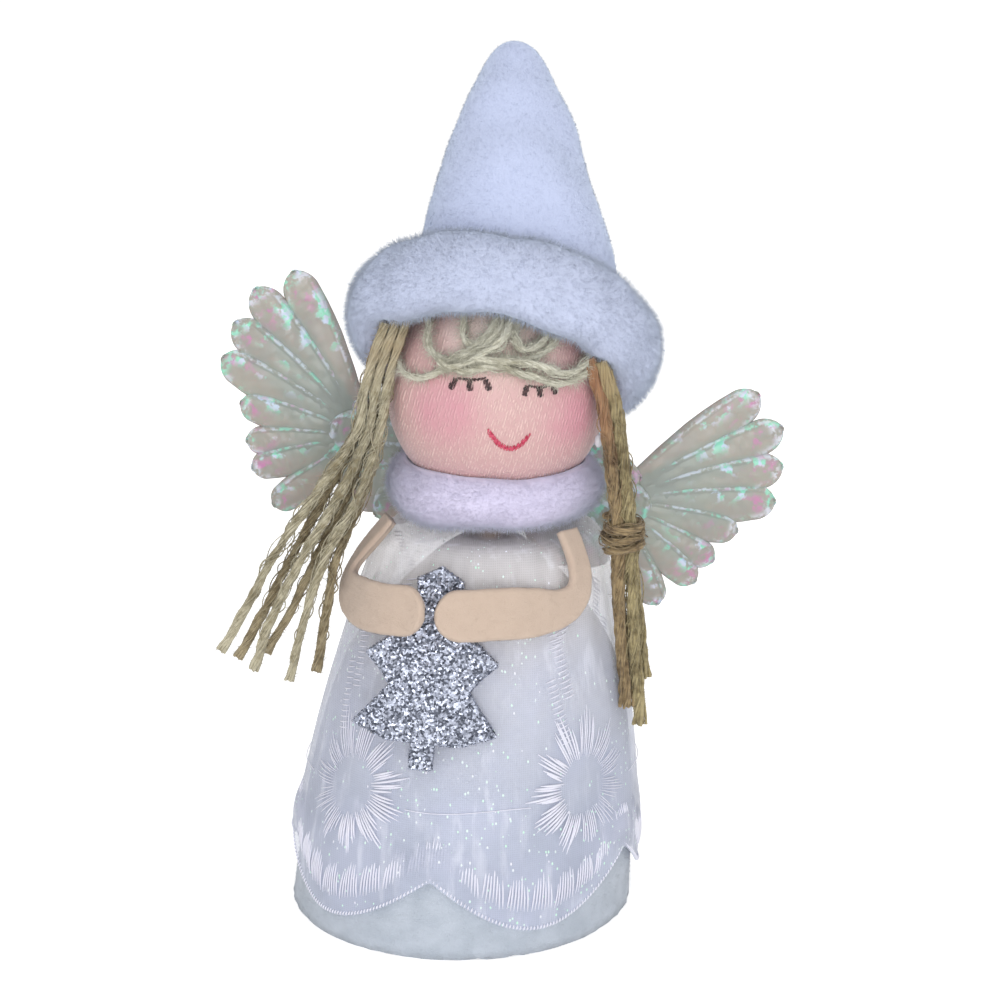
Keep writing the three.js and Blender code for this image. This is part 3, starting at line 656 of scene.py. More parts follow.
class Route:
    """A smooth line through points."""

    samples = 24

    def __init__(self, points: Sequence[Sequence[float]]) -> None:
        """Fits a centripetal spline.

        Args:
            points: What the line passes through.
        """
        given = [np.array(p, float) for p in points]
        given = [2 * given[0] - given[1], *given, 2 * given[-1] - given[-2]]
        fine = [given[1]]
        for before, start, end, after in zip(given, given[1:], given[2:], given[3:]):
            pairs = ((before, start), (start, end), (end, after))
            first, gap, last = (math.sqrt(np.linalg.norm(b - a)) for a, b in pairs)
            leave = (start - before) / first - (end - before) / (first + gap) + (end - start) / gap
            arrive = (end - start) / gap - (after - start) / (gap + last) + (after - end) / last
            leave, arrive = leave * gap, arrive * gap
            for t in np.linspace(0, 1, self.samples + 1)[1:]:
                fine.append((2 * t**3 - 3 * t**2 + 1) * start + (t**3 - 2 * t**2 + t) * leave
                            + (3 * t**2 - 2 * t**3) * end + (t**3 - t**2) * arrive)
        self.fine = np.array(fine)
        steps = np.linalg.norm(np.diff(self.fine, axis=0), axis=1)
        self.along = np.concatenate([[0], np.cumsum(steps)])
        self.length = float(self.along[-1])

    def even(self, count: int) -> np.ndarray:
        """A number of points at even distances."""
        at = np.linspace(0, self.length, count)
        return np.stack([np.interp(at, self.along, column) for column in self.fine.T], axis=1)


def smoothed(values: np.ndarray, reach: int) -> np.ndarray:
    """Averages each row with its neighbours, and keeps both ends.

    Args:
        values: An array of points or directions.
        reach: How many neighbours on each side count.

    Returns:
        The smoother array.
    """
    before, after = 2 * values[0] - values[reach:0:-1], 2 * values[-1] - values[-2:-reach - 2:-1]
    padded = np.concatenate([before, values, after])
    window = np.ones(2 * reach + 1) / (2 * reach + 1)
    return np.stack([np.convolve(column, window, "valid") for column in padded.T], axis=1)


def frames_along(points: np.ndarray) -> tuple[np.ndarray, np.ndarray]:
    """Two directions square to a line at each of its points, without twist.

    Args:
        points: The line.

    Returns:
        The first and the second directions.
    """
    tangents = unit(np.gradient(points, axis=0))
    side = np.cross(tangents[0], (0.3, 1, 0.2))
    first = []
    for tangent in tangents:
        side = side - tangent * (side @ tangent)
        side /= np.linalg.norm(side)
        first.append(side)
    first = np.array(first)
    return first, np.cross(tangents, first)


def spun(outline: Outline, steps: int) -> Shape:
    """A shape turned round the +Z axis.

    Args:
        outline: [radius, height] points.
        steps: How many places it has round the axis.

    Returns:
        The shape, which starts at the front.
    """
    shape = bmesh.new()
    corners = [shape.verts.new((0, -radius, height)) for radius, height in outline]
    edges = [shape.edges.new(pair) for pair in zip(corners, corners[1:])]
    bmesh.ops.spin(shape, geom=[*corners, *edges], cent=(0, 0, 0), axis=(0, 0, 1), angle=math.tau,
                   steps=steps, use_merge=True)
    bmesh.ops.remove_doubles(shape, verts=shape.verts, dist=0.001)
    bmesh.ops.recalc_face_normals(shape, faces=shape.faces)
    return shape


def uneven(shape: Shape, size: float, depth: float, seed: int = 0) -> None:
    """Dents and swells a surface.

    Args:
        shape: The surface.
        size: How wide the dents are.
        depth: How far a point may move.
        seed: Which pattern.
    """
    shift = Vector((seed * 7.3, seed * 3.1, seed * 5.7))
    for vert in shape.verts:
        vert.co += vert.normal * depth * noise.noise(vert.co / size + shift)


def hollowed(shape: Shape, balls: Sequence[tuple[Vector, float]]) -> None:
    """Pushes a surface out of some balls.

    Args:
        shape: The surface.
        balls: The middle and the radius of each.
    """
    for middle, radius in balls:
        for vert in shape.verts:
            away = vert.co - middle
            if away.length < radius:
                vert.co = middle + away.normalized() * radius


def plain_mesh(name: str, shape: Shape) -> bpy.types.Mesh:
    """Turns a shape into a mesh of the same size, and frees it.

    Args:
        name: The mesh's name.
        shape: The shape.

    Returns:
        The mesh.
    """
    mesh = bpy.data.meshes.new(name)
    shape.to_mesh(mesh)
    shape.free()
    return mesh


def finished_mesh(name: str, shape: Shape) -> bpy.types.Mesh:
    """Turns a shape in millimetres into a smooth mesh in metres, and frees it.

    Args:
        name: The mesh's name.
        shape: The shape.

    Returns:
        The mesh.
    """
    bmesh.ops.scale(shape, vec=(MM,) * 3, verts=shape.verts)
    mesh = plain_mesh(name, shape)
    mesh.shade_smooth()
    return mesh


def gathered(meshes: Sequence[bpy.types.Mesh]) -> Shape:
    """Puts several meshes in one shape, and removes them.

    Args:
        meshes: The meshes.

    Returns:
        The shape.
    """
    shape = bmesh.new()
    for mesh in meshes:
        shape.from_mesh(mesh)
        bpy.data.meshes.remove(mesh)
    return shape


def joined(name: str, meshes: Sequence[bpy.types.Mesh]) -> bpy.types.Mesh:
    """Makes one smooth mesh from several, and removes them.

    Args:
        name: The mesh's name.
        meshes: The meshes.

    Returns:
        The whole mesh.
    """
    whole = plain_mesh(name, gathered(meshes))
    whole.shade_smooth()
    return whole


def linked(name: str, data: bpy.types.ID) -> bpy.types.Object:
    """Puts data in the scene as a new object.

    Args:
        name: The object's name.
        data: Its mesh, curve, lamp or camera.

    Returns:
        The object.
    """
    item = bpy.data.objects.new(name, data)
    bpy.context.scene.collection.objects.link(item)
    return item


def rows_of(items: bpy.types.bpy_prop_collection, name: str) -> np.ndarray:
    """Reads a property of three numbers from each item of a collection.

    Args:
        items: The collection.
        name: The property.

    Returns:
        One row for each item.
    """
    numbers = np.empty(len(items) * 3)
    items.foreach_get(name, numbers)
    return numbers.reshape(-1, 3)


def point_values(mesh: bpy.types.Mesh, name: str, values: np.ndarray) -> None:
    """Stores a number at each point of a mesh."""
    mesh.attributes.new(name, "FLOAT", "POINT").data.foreach_set("value", np.asarray(values, np.float32))


def strands_mesh(
    name: str, routes: Sequence[np.ndarray], radii: Sequence[np.ndarray], sides: int = 1
) -> bpy.types.Mesh:
    """Round strands along lines, made by a bevelled curve.

    Args:
        name: The mesh's name.
        routes: The points of each strand, in millimetres.
        radii: The radius at each of those points.
        sides: The bevel's resolution.

    Returns:
        The mesh, in metres, with a UV map along each strand.
    """
    curve = bpy.data.curves.new(name + "_curve", "CURVE")
    curve.dimensions = "3D"
    curve.bevel_depth = MM
    curve.bevel_resolution = sides
    curve.use_fill_caps = True
    for route, widths in zip(routes, radii):
        spline = curve.splines.new("POLY")
        spline.points.add(len(route) - 1)
        places = np.column_stack([np.asarray(route) * MM, np.ones(len(route))])
        spline.points.foreach_set("co", places.ravel())
        spline.points.foreach_set("radius", np.asarray(widths, float))
    holder = linked(name + "_holder", curve)
    made = bpy.data.meshes.new_from_object(holder.evaluated_get(bpy.context.evaluated_depsgraph_get()))
    made.name = name
    bpy.data.objects.remove(holder)
    bpy.data.curves.remove(curve)
    made.materials.clear()
    made.shade_smooth()
    return made


def triangles(mesh: bpy.types.Mesh) -> np.ndarray:
    """Splits a mesh's faces into triangles, in an order that is the same on every run.

    Args:
        mesh: The mesh.

    Returns:
        The three points of each triangle.
    """
    faces = []
    for face in mesh.polygons:
        corners = list(face.vertices)
        first = corners.index(min(corners))
        faces.append(corners[first:] + corners[:first])
    return np.array([(face[0], *pair) for face in sorted(faces) for pair in zip(face[1:], face[2:])])


@dataclass(frozen=True)
class Fibres:
    """A coat of tapered fibres that stands on a surface, in millimetres.

    lean says how far the fibres fall over at random, tuft how wide the patches are that lean one
    way, comb which way all of them lean, and soft how much of the surface's own shading they take.
    """

    count: int
    length: float
    width: float
    lean: float
    seed: int
    tuft: float = 3.0
    comb: tuple[float, float, float] = (0, 0, 0)
    soft: float = 0.75
    least_rise: float = 0.12
    sunk: float = 0.1

    def places(
        self, mesh: bpy.types.Mesh, rng: np.random.Generator, keep: Keep | None
    ) -> tuple[np.ndarray, np.ndarray]:
        """Spreads roots evenly over a mesh.

        Args:
            mesh: The surface, in metres.
            rng: The source of chance.
            keep: Says which roots, in millimetres, stay.

        Returns:
            The roots and the surface's directions there.
        """
        corners, normals = rows_of(mesh.vertices, "co") / MM, rows_of(mesh.vertices, "normal")
        index = triangles(mesh)
        a, b, c = (corners[index[:, k]] for k in range(3))
        areas = np.linalg.norm(np.cross(b - a, c - a), axis=1)
        middles = (a + b + c) / 3
        if keep is not None:
            areas = areas * keep(middles)
        chosen = rng.choice(len(areas), self.count, p=areas / areas.sum())
        u, v = rng.random(self.count), rng.random(self.count)
        u, v = np.where(u + v > 1, 1 - u, u), np.where(u + v > 1, 1 - v, v)
        shares = (1 - u - v, u, v)
        roots = sum(share[:, None] * corners[index[chosen, k]] for k, share in enumerate(shares))
        outward = sum(share[:, None] * normals[index[chosen, k]] for k, share in enumerate(shares))
        return roots, unit(outward)

    def grown(self, name: str, mesh: bpy.types.Mesh, keep: Keep | None = None) -> bpy.types.Mesh:
        """Grows the coat.

        Args:
            name: The new mesh's name.
            mesh: The surface that it stands on.
            keep: Says which roots stay.

        Returns:
            A mesh of three-sided spikes.
        """
        rng = np.random.default_rng(self.seed)
        roots, outward = self.places(mesh, rng, keep)
        noise.seed_set(self.seed)
        tufts = np.array([noise.noise_vector(Vector(root / self.tuft)) for root in roots])
        away = outward + self.lean * (rng.normal(0, 0.45, roots.shape) + 1.1 * tufts) + np.array(self.comb)
        away -= outward * np.minimum(np.einsum("ij,ij->i", away, outward) - self.least_rise, 0)[:, None]
        away = unit(away)
        lengths = self.length * rng.uniform(0.55, 1.1, self.count)[:, None]
        first = unit(np.cross(away, rng.normal(0, 1, roots.shape)))
        second = np.cross(away, first)
        half = self.width / 2
        rims = [math.cos(k * math.tau / 3) * first + math.sin(k * math.tau / 3) * second for k in range(3)]
        foot = [roots + half * rim - self.sunk * outward for rim in rims]
        points = np.stack([*foot, roots + away * lengths], axis=1)
        soft = np.stack([*(self.soft * outward + (1 - self.soft) * rim for rim in rims),
                         self.soft * outward + (1 - self.soft) * away], axis=1)
        faces = np.array([[0, 1, 3], [1, 2, 3], [2, 0, 3]])
        faces = (faces[None] + 4 * np.arange(self.count)[:, None, None]).reshape(-1, 3)
        coat = bpy.data.meshes.new(name)
        coat.from_pydata((points.reshape(-1, 3) * MM).tolist(), [], faces.tolist())
        coat.shade_smooth()
        coat.normals_split_custom_set_from_vertices(unit(soft.reshape(-1, 3)).tolist())
        point_values(coat, "tip", np.tile([0, 0, 0, 1], self.count))
        return coat


@dataclass(frozen=True)
class Piece:
    """What a finished mesh is called, wears, rides on and stands for."""

    name: str
    finish: Finish
    slot: str
    replaces: tuple[str, ...] = ()
    body: Body = Body.FIGURE

    def shown(self, mesh: bpy.types.Mesh) -> bpy.types.Object:
        """Puts a mesh in the scene as this piece.

        Args:
            mesh: The finished mesh, in metres.

        Returns:
            The piece's object.
        """
        item = linked(self.name, mesh)
        mesh.materials.append(self.finish.material())
        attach(item, self.body.value)
        if self.replaces:
            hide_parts(*self.replaces)
        LOG.info("%s: %d faces", self.name, len(mesh.polygons))
        return item


def dressed(node: str, finish: Finish, bevel: float = 0, levels: int = 0) -> None:
    """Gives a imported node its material, and softens its edges.

    Args:
        node: The node's name.
        finish: What it wears.
        bevel: How far its edges are rounded, in millimetres.
        levels: How often it is subdivided.
    """
    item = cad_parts[node]
    item.data.materials.clear()
    item.data.materials.append(finish.material())
    if bevel or levels:
        item.modifiers.new("weld", "WELD").merge_threshold = 0.01 * MM
    if bevel:
        edges = item.modifiers.new("round_off", "BEVEL")
        edges.width = bevel * MM
        edges.segments = 3
        edges.limit_method = "ANGLE"
    if levels:
        finer = item.modifiers.new("finer", "SUBSURF")
        finer.levels = levels
        finer.render_levels = levels
    LOG.info("%s: %s", node, finish.name)


def thickened(item: bpy.types.Object, depth: float) -> None:
    """Gives a sheet a thickness inwards.

    Args:
        item: The sheet's object.
        depth: The thickness, in millimetres.
    """
    wall = item.modifiers.new("wall", "SOLIDIFY")
    wall.thickness = depth * MM
    wall.offset = -1


# The doll's parts

# How far the body leans to the doll's left with its height, and the ball of the head
LEAN = math.tan(math.radians(4.5))
HEAD_MIDDLE = Vector((6, 0, 85.6))
HEAD_RADIUS = 17.6


def on_ball(turn: float, lift: float) -> Vector:
    """The direction from a ball's middle to a place on it, by degrees round and up."""
    t, u = math.radians(turn), math.radians(lift)
    return Vector((math.cos(u) * math.sin(t), -math.cos(u) * math.cos(t), math.sin(u)))


def on_head(turn: float, lift: float, off: float = 0) -> Vector:
    """A place on the head, or off it by some millimetres."""
    return HEAD_MIDDLE + on_ball(turn, lift) * (HEAD_RADIUS + off)


def off_head(points: np.ndarray, gap: float) -> np.ndarray:
    """Says which points are further off the head than a gap."""
    return np.linalg.norm(points - np.array(HEAD_MIDDLE), axis=1) > HEAD_RADIUS + gap


@dataclass
class Skirt:
    """The felt skirt on its foam core and card disc."""

    radius: float = 28.3
    height: float = 63
    felt: float = 1.2
    shares: Outline = ((1, 0), (0.947, 0.33), (0.866, 0.54), (0.777, 0.667), (0.7, 0.73),
                       (0.618, 0.778), (0.512, 0.84), (0.4, 0.895), (0.283, 0.945), (0.15, 0.985))
    peg_gap: float = 2.4
    steps: int = 120
    worn: float = 3
    roughness: float = 0.02
    nap: Fibres = Fibres(9000, 0.55, 0.06, 1.0, 11, 1.5)
    nap_from: float = 0.9
    nap_to: float = 15

    def outline(self, inward: float) -> list[tuple[float, float]]:
        """The felt's outline, moved inwards.

        Args:
            inward: How far it is moved.

        Returns:
            [radius, height] points.
        """
        points = Route([(r * self.radius, 0, h * self.height) for r, h in self.shares]).even(40)
        return [(max(x - inward * 0.9, self.peg_gap), z - (z >= 1) * inward * (1.05 - x / self.radius))
                for x, _, z in points]

    def build(self) -> None:
        """Makes the felt and dresses the core and the disc."""
        outer, inner = self.outline(0), self.outline(self.felt)
        shape = spun([*outer, *reversed(inner), outer[0]], self.steps)
        for vert in shape.verts:
            if vert.co.z < self.worn:
                rough = noise.noise(vert.co * 0.5) * (self.worn - vert.co.z) / self.worn
                vert.co.z += max(rough, 0)
                vert.co.x *= 1 + self.roughness * rough
                vert.co.y *= 1 + self.roughness * rough
            vert.co.x += LEAN * vert.co.z
        shape.normal_update()
        mesh = finished_mesh("felt_skirt", shape)
        felt = Piece("felt_skirt", WHITE_FELT, "white_felt", ("skirt_underlayer",)).shown(mesh)
        low, high = self.nap_from, self.nap_to
        coat = self.nap.grown("felt_skirt_nap", mesh, lambda p: (p[:, 2] > low) & (p[:, 2] < high))
        nap = Piece("felt_skirt_nap", WHITE_FELT, "white_felt").shown(coat)
        dressed("body_core", FOAM)
        dressed("base_disc", CARD, 0.2)


@dataclass
class Overskirt:
    """The embroidered organza overskirt.

    The hem has five scallops between its notches. A rosette is a turn, a height and the direction
    of its thickest stitches, and a ladder two turns and heights and a width.
    """

    seed: int = 21
    hem_radius: float = 29.8
    top: float = 64.4
    hem_low: float = 4.6
    rise: float = 9
    scallops: int = 5
    notch: float = -11
    fade: float = 20
    drawn: float = 0.9
    drawn_below: float = 14
    shares: Outline = ((1, 0), (0.98, 0.15), (0.93, 0.326), (0.855, 0.528), (0.733, 0.761),
                       (0.659, 0.885), (0.604, 0.963), (0.555, 0.988), (0.4, 1), (0.08, 1.003))
    folds: int = 10
    fold_depths: Outline = ((0, 0.42), (0.15, 0.28), (0.33, 0.07), (0.53, 0.07), (0.76, 0.35), (0.89, 0.56),
                            (1, 0.07))
    gathers: int = 31
    gather_depths: Outline = ((0.6, 0), (0.85, 0.22), (1, 0.132))
    steps: int = 240
    peg_gap: float = 2.4
    peg_cloth: float = 4
    faint: float = 0.4
    hem_weight: float = 0.75
    ladder_weight: float = 0.55
    thread: Outline = ((0, 0.06), (0.25, 0.17), (0.5, 0.2), (0.75, 0.17), (1, 0.06))
    thread_gap: float = 0.1
    thread_rise: float = 0.18
    petals: int = 11
    petal_foot: float = 4.6
    tall_petals: tuple[float, float] = (0.9, 2.2)
    taller: float = 1.14
    rosette_radius: float = 28
    petal: tuple[float, ...] = (9, 9.9, 10.8, 11.3, 10.7, 9.8, 8.9)
    rosettes: tuple[Point, ...] = ((-45, 26, -20), (41, 26.5, 180), (129, 26, 160), (-137, 26, 0))
    fans: int = 9
    fan: tuple[float, ...] = (4.6, 5.2, 5.7, 6, 5.7, 5.2, 4.7)
    fan_gap: float = 3
    fan_spread: float = 1.12
    end_fan: float = 0.8
    block: tuple[float, float] = (15, 20.5)
    edge_stitches: int = 64
    sides: tuple[float, ...] = (0, 90, 180, 270)
    rungs: int = 13
    ladders: tuple[tuple[float, float, float, float, float], ...] = (
        (-62, 44, -56, 34, 5), (30, 51, 36, 41, 6), (-60, 49, -38, 59, 6),
    )
    jump_points: int = 30
    jump_turns: tuple[float, float] = (-22, 20)
    jump_height: float = 24.6
    jump_sag: float = 0.3
    jump_thread: float = 0.07

    def __post_init__(self) -> None:
        """Reads the outline once."""
        points = Route([(r * self.hem_radius, 0, h * self.top) for r, h in self.shares]).even(60)
        self.radii, self.heights = points[:, 0], points[:, 2]

    def radius(self, turn: float, height: float) -> float:
        """The cloth's distance from the body's line.

        Args:
            turn: Degrees from the front.
            height: Above the table.

        Returns:
            The radius with its folds.
        """
        plain = float(np.interp(height, self.heights, self.radii))
        plain -= self.drawn * max(1 - height / self.drawn_below, 0)
        share = min(max(height / self.top, 0), 1)
        deep = float(np.interp(share, *zip(*self.fold_depths)))
        local = math.radians(turn - self.notch)
        drawn_in = float(np.interp(share, *zip(*self.gather_depths)))
        gathers = drawn_in * math.sin(self.gathers * local + 3 * math.sin(3 * local))
        return plain + deep * (0.5 + 0.5 * math.cos(self.folds * local)) + gathers

    def hem(self, turn: float) -> float:
        """The height of the hem's edge at a turn."""
        local = math.radians(turn - self.notch)
        return self.hem_low + self.rise * (1 - abs(math.sin(self.scallops * local / 2)))

    def place(self, turn: float, height: float, off: float) -> Vector:
        """A place off the cloth.

        Args:
            turn: Degrees from the front.
            height: Above the table.
            off: How far off the cloth it is.

        Returns:
            The place.
        """
        radius = self.radius(turn, height) + off
        t = math.radians(turn)
        return Vector((radius * math.sin(t) + LEAN * height, -radius * math.cos(t), height))

    def cloth(self) -> bpy.types.Mesh:
        """Makes the open sheet of organza, with its folds and scallops.

        Returns:
            Its mesh.
        """
        outline = list(zip(self.radii[:-1], self.heights[:-1]))
        shape = spun([(max(r, self.peg_gap), h) for r, h in outline], self.steps)
        for vert in shape.verts:
            turn = math.degrees(math.atan2(vert.co.x, -vert.co.y))
            height = vert.co.z
            if height < self.fade:
                hem = self.hem(turn)
                height = hem + height * (self.fade - hem) / self.fade
            flat = math.hypot(vert.co.x, vert.co.y)
            wanted = self.radius(turn, vert.co.z) if flat > self.peg_cloth else self.peg_gap
            grown = wanted / max(flat, 0.01)
            vert.co = Vector((vert.co.x * grown + LEAN * height, vert.co.y * grown, height))
        shape.normal_update()
        return finished_mesh("organza_cloth", shape)

    def stitch(self, start: tuple[float, float], end: tuple[float, float]) -> np.ndarray:
        """Sews one raised stitch between two places.

        Args:
            start: The turn and the height where it starts.
            end: The turn and the height where it ends.

        Returns:
            Its points.
        """
        points = []
        for s, _ in self.thread:
            turn, height = (a + s * (b - a) for a, b in zip(start, end))
            off = self.thread_gap + self.thread_rise * math.sin(math.pi * s)
            points.append(self.place(turn, height, off))
        return np.array(points)

    def rosette(
        self, turn: float, height: float, full: float, rng: np.random.Generator
    ) -> tuple[list[np.ndarray], list[float]]:
        """A ring of radial satin stitches in pointed groups.

        Args:
            turn: Where its middle is.
            height: How high its middle is.
            full: The direction of its thickest stitches, in degrees from the doll's left upwards.
            rng: The source of chance.

        Returns:
            The stitches and how thick each is.
        """
        stitches, weights = [], []
        per_mm = 180 / (math.pi * self.rosette_radius)
        tall_from, tall_to = self.tall_petals
        each = len(self.petal)
        for k in range(self.petals * each):
            petal, step = divmod(k, each)
            middle = math.tau * (petal + 0.5) / self.petals
            spread = math.tau / self.petals * (step - each // 2) / each
            upper = self.taller if tall_from < middle < tall_to else 1
            reach = self.petal[step] * upper * rng.uniform(0.9, 1.06)
            inner, near = self.petal_foot + rng.uniform(-0.4, 0.5), middle + spread
            far = middle + 0.78 * spread + rng.uniform(-0.03, 0.03)
            stitches.append(self.stitch(
                (turn + inner * math.cos(near) * per_mm, height + inner * math.sin(near)),
                (turn + reach * math.cos(far) * per_mm, height + reach * math.sin(far))))
            facing = 0.5 + 0.5 * math.cos(middle - math.radians(full))
            weights.append(self.faint + (1 - self.faint) * min(1, 1.5 * facing**2))
        return stitches, weights

    def hem_stitches(self, rng: np.random.Generator) -> list[np.ndarray]:
        """Sews the fans over each scallop, the bound edge and the block at each notch.

        Args:
            rng: The source of chance.

        Returns:
            The stitches.
        """
        stitches = []
        each, scallop = len(self.fan), 360 / self.scallops
        for k in range(self.scallops * self.fans * each):
            fan, step = divmod(k, each)
            middle = self.notch + scallop / self.fans * (fan + 0.5)
            spread = self.fan_spread * (step - each // 2)
            low = self.hem(middle + spread) + self.fan_gap + rng.uniform(-0.3, 0.4)
            outer = self.end_fan if fan % self.fans in (0, self.fans - 1) else 1
            tall = self.fan[step] * outer * rng.uniform(0.85, 1.08)
            top = middle + rng.uniform(0.72, 0.85) * spread
            stitches.append(self.stitch((middle + spread, low), (top, low + tall)))
        for k in range(self.scallops * self.edge_stitches):
            turn = self.notch + scallop * k / self.edge_stitches
            edge = self.hem(turn)
            stitches.append(self.stitch((turn, edge + 0.05), (turn + 0.3, edge + 0.75)))
        low, high = self.block
        for k in range(self.scallops):
            notch = self.notch + scallop * k
            for n in range(-2, 3):
                stitches.append(self.stitch((notch + 1.1 * n, low), (notch + 0.9 * n, high - abs(n))))
        return stitches

    def ladder(self, start: tuple[float, float], end: tuple[float, float], width: float) -> list[np.ndarray]:
        """Sews a band of rungs between two places.

        Args:
            start: Its first turn and height.
            end: Its last turn and height.
            width: The length of a rung, in degrees round the skirt.

        Returns:
            The stitches.
        """
        found = []
        for s in np.linspace(0, 1, self.rungs):
            turn, height = (a + s * (b - a) for a, b in zip(start, end))
            found.append(self.stitch((turn - width / 2, height - 0.25), (turn + width / 2, height + 0.25)))
        return found

    def jump(self, side: float) -> np.ndarray:
        """Lays the loose thread between two rosettes.

        Args:
            side: The turn that it passes in its middle.

        Returns:
            Its points.
        """
        start, end = self.jump_turns
        turns = np.linspace(side + start, side + end, self.jump_points)
        heights = [self.jump_height + self.jump_sag * math.sin(turn / 9) for turn in turns]
        return np.array([self.place(turn, height, 0.3) for turn, height in zip(turns, heights)])

    def build(self) -> None:
        """Makes the cloth and its embroidery."""
        rng = np.random.default_rng(self.seed)
        cloth = Piece("organza_overskirt_cloth", ORGANZA, "organza", ("organza_overskirt",))
        cloth = cloth.shown(self.cloth())
        stitches = self.hem_stitches(rng)
        weights = [self.hem_weight] * len(stitches)
        for turn, height, full in self.rosettes:
            petals, thickness = self.rosette(turn, height, full, rng)
            stitches += petals
            weights += thickness
        for side in self.sides:
            for turn, height, end_turn, end_height, width in self.ladders:
                stitches += self.ladder((side + turn, height), (side + end_turn, end_height), width)
        weights += [self.ladder_weight] * (len(stitches) - len(weights))
        thickness = np.array([radius for _, radius in self.thread])
        thread = strands_mesh("stitches", stitches, [weight * thickness for weight in weights])
        sewn = Piece("skirt_embroidery", EMBROIDERY, "thread").shown(thread)
        jumps = [self.jump(side) for side in self.sides]
        radii = np.full(self.jump_points, self.jump_thread)
        loose = strands_mesh("jump_threads", jumps, [radii] * len(jumps))
        trailing = Piece("skirt_jump_threads", EMBROIDERY, "thread").shown(loose)


@dataclass
class Neck:
    """The wooden peg and the thread that gathers the organza round it."""

    foot: float = 64.85
    lean_height: float = 65.6
    radius: float = 2.55
    thread: float = 0.2
    points: int = 60

    def build(self) -> None:
        """Makes the winding and dresses the peg."""
        turns = np.linspace(0, 3 * math.pi, self.points)
        across = LEAN * self.lean_height + self.radius * np.cos(turns)
        winding = np.stack([across, self.radius * np.sin(turns), self.foot + turns / 6.3], axis=1)
        mesh = strands_mesh("neck_thread_winding", [winding], [np.full(self.points, self.thread)], 2)
        Piece("neck_thread_winding", NECK_COTTON, "thread", ("neck_thread",)).shown(mesh)
        dressed("neck_peg", WOOD)


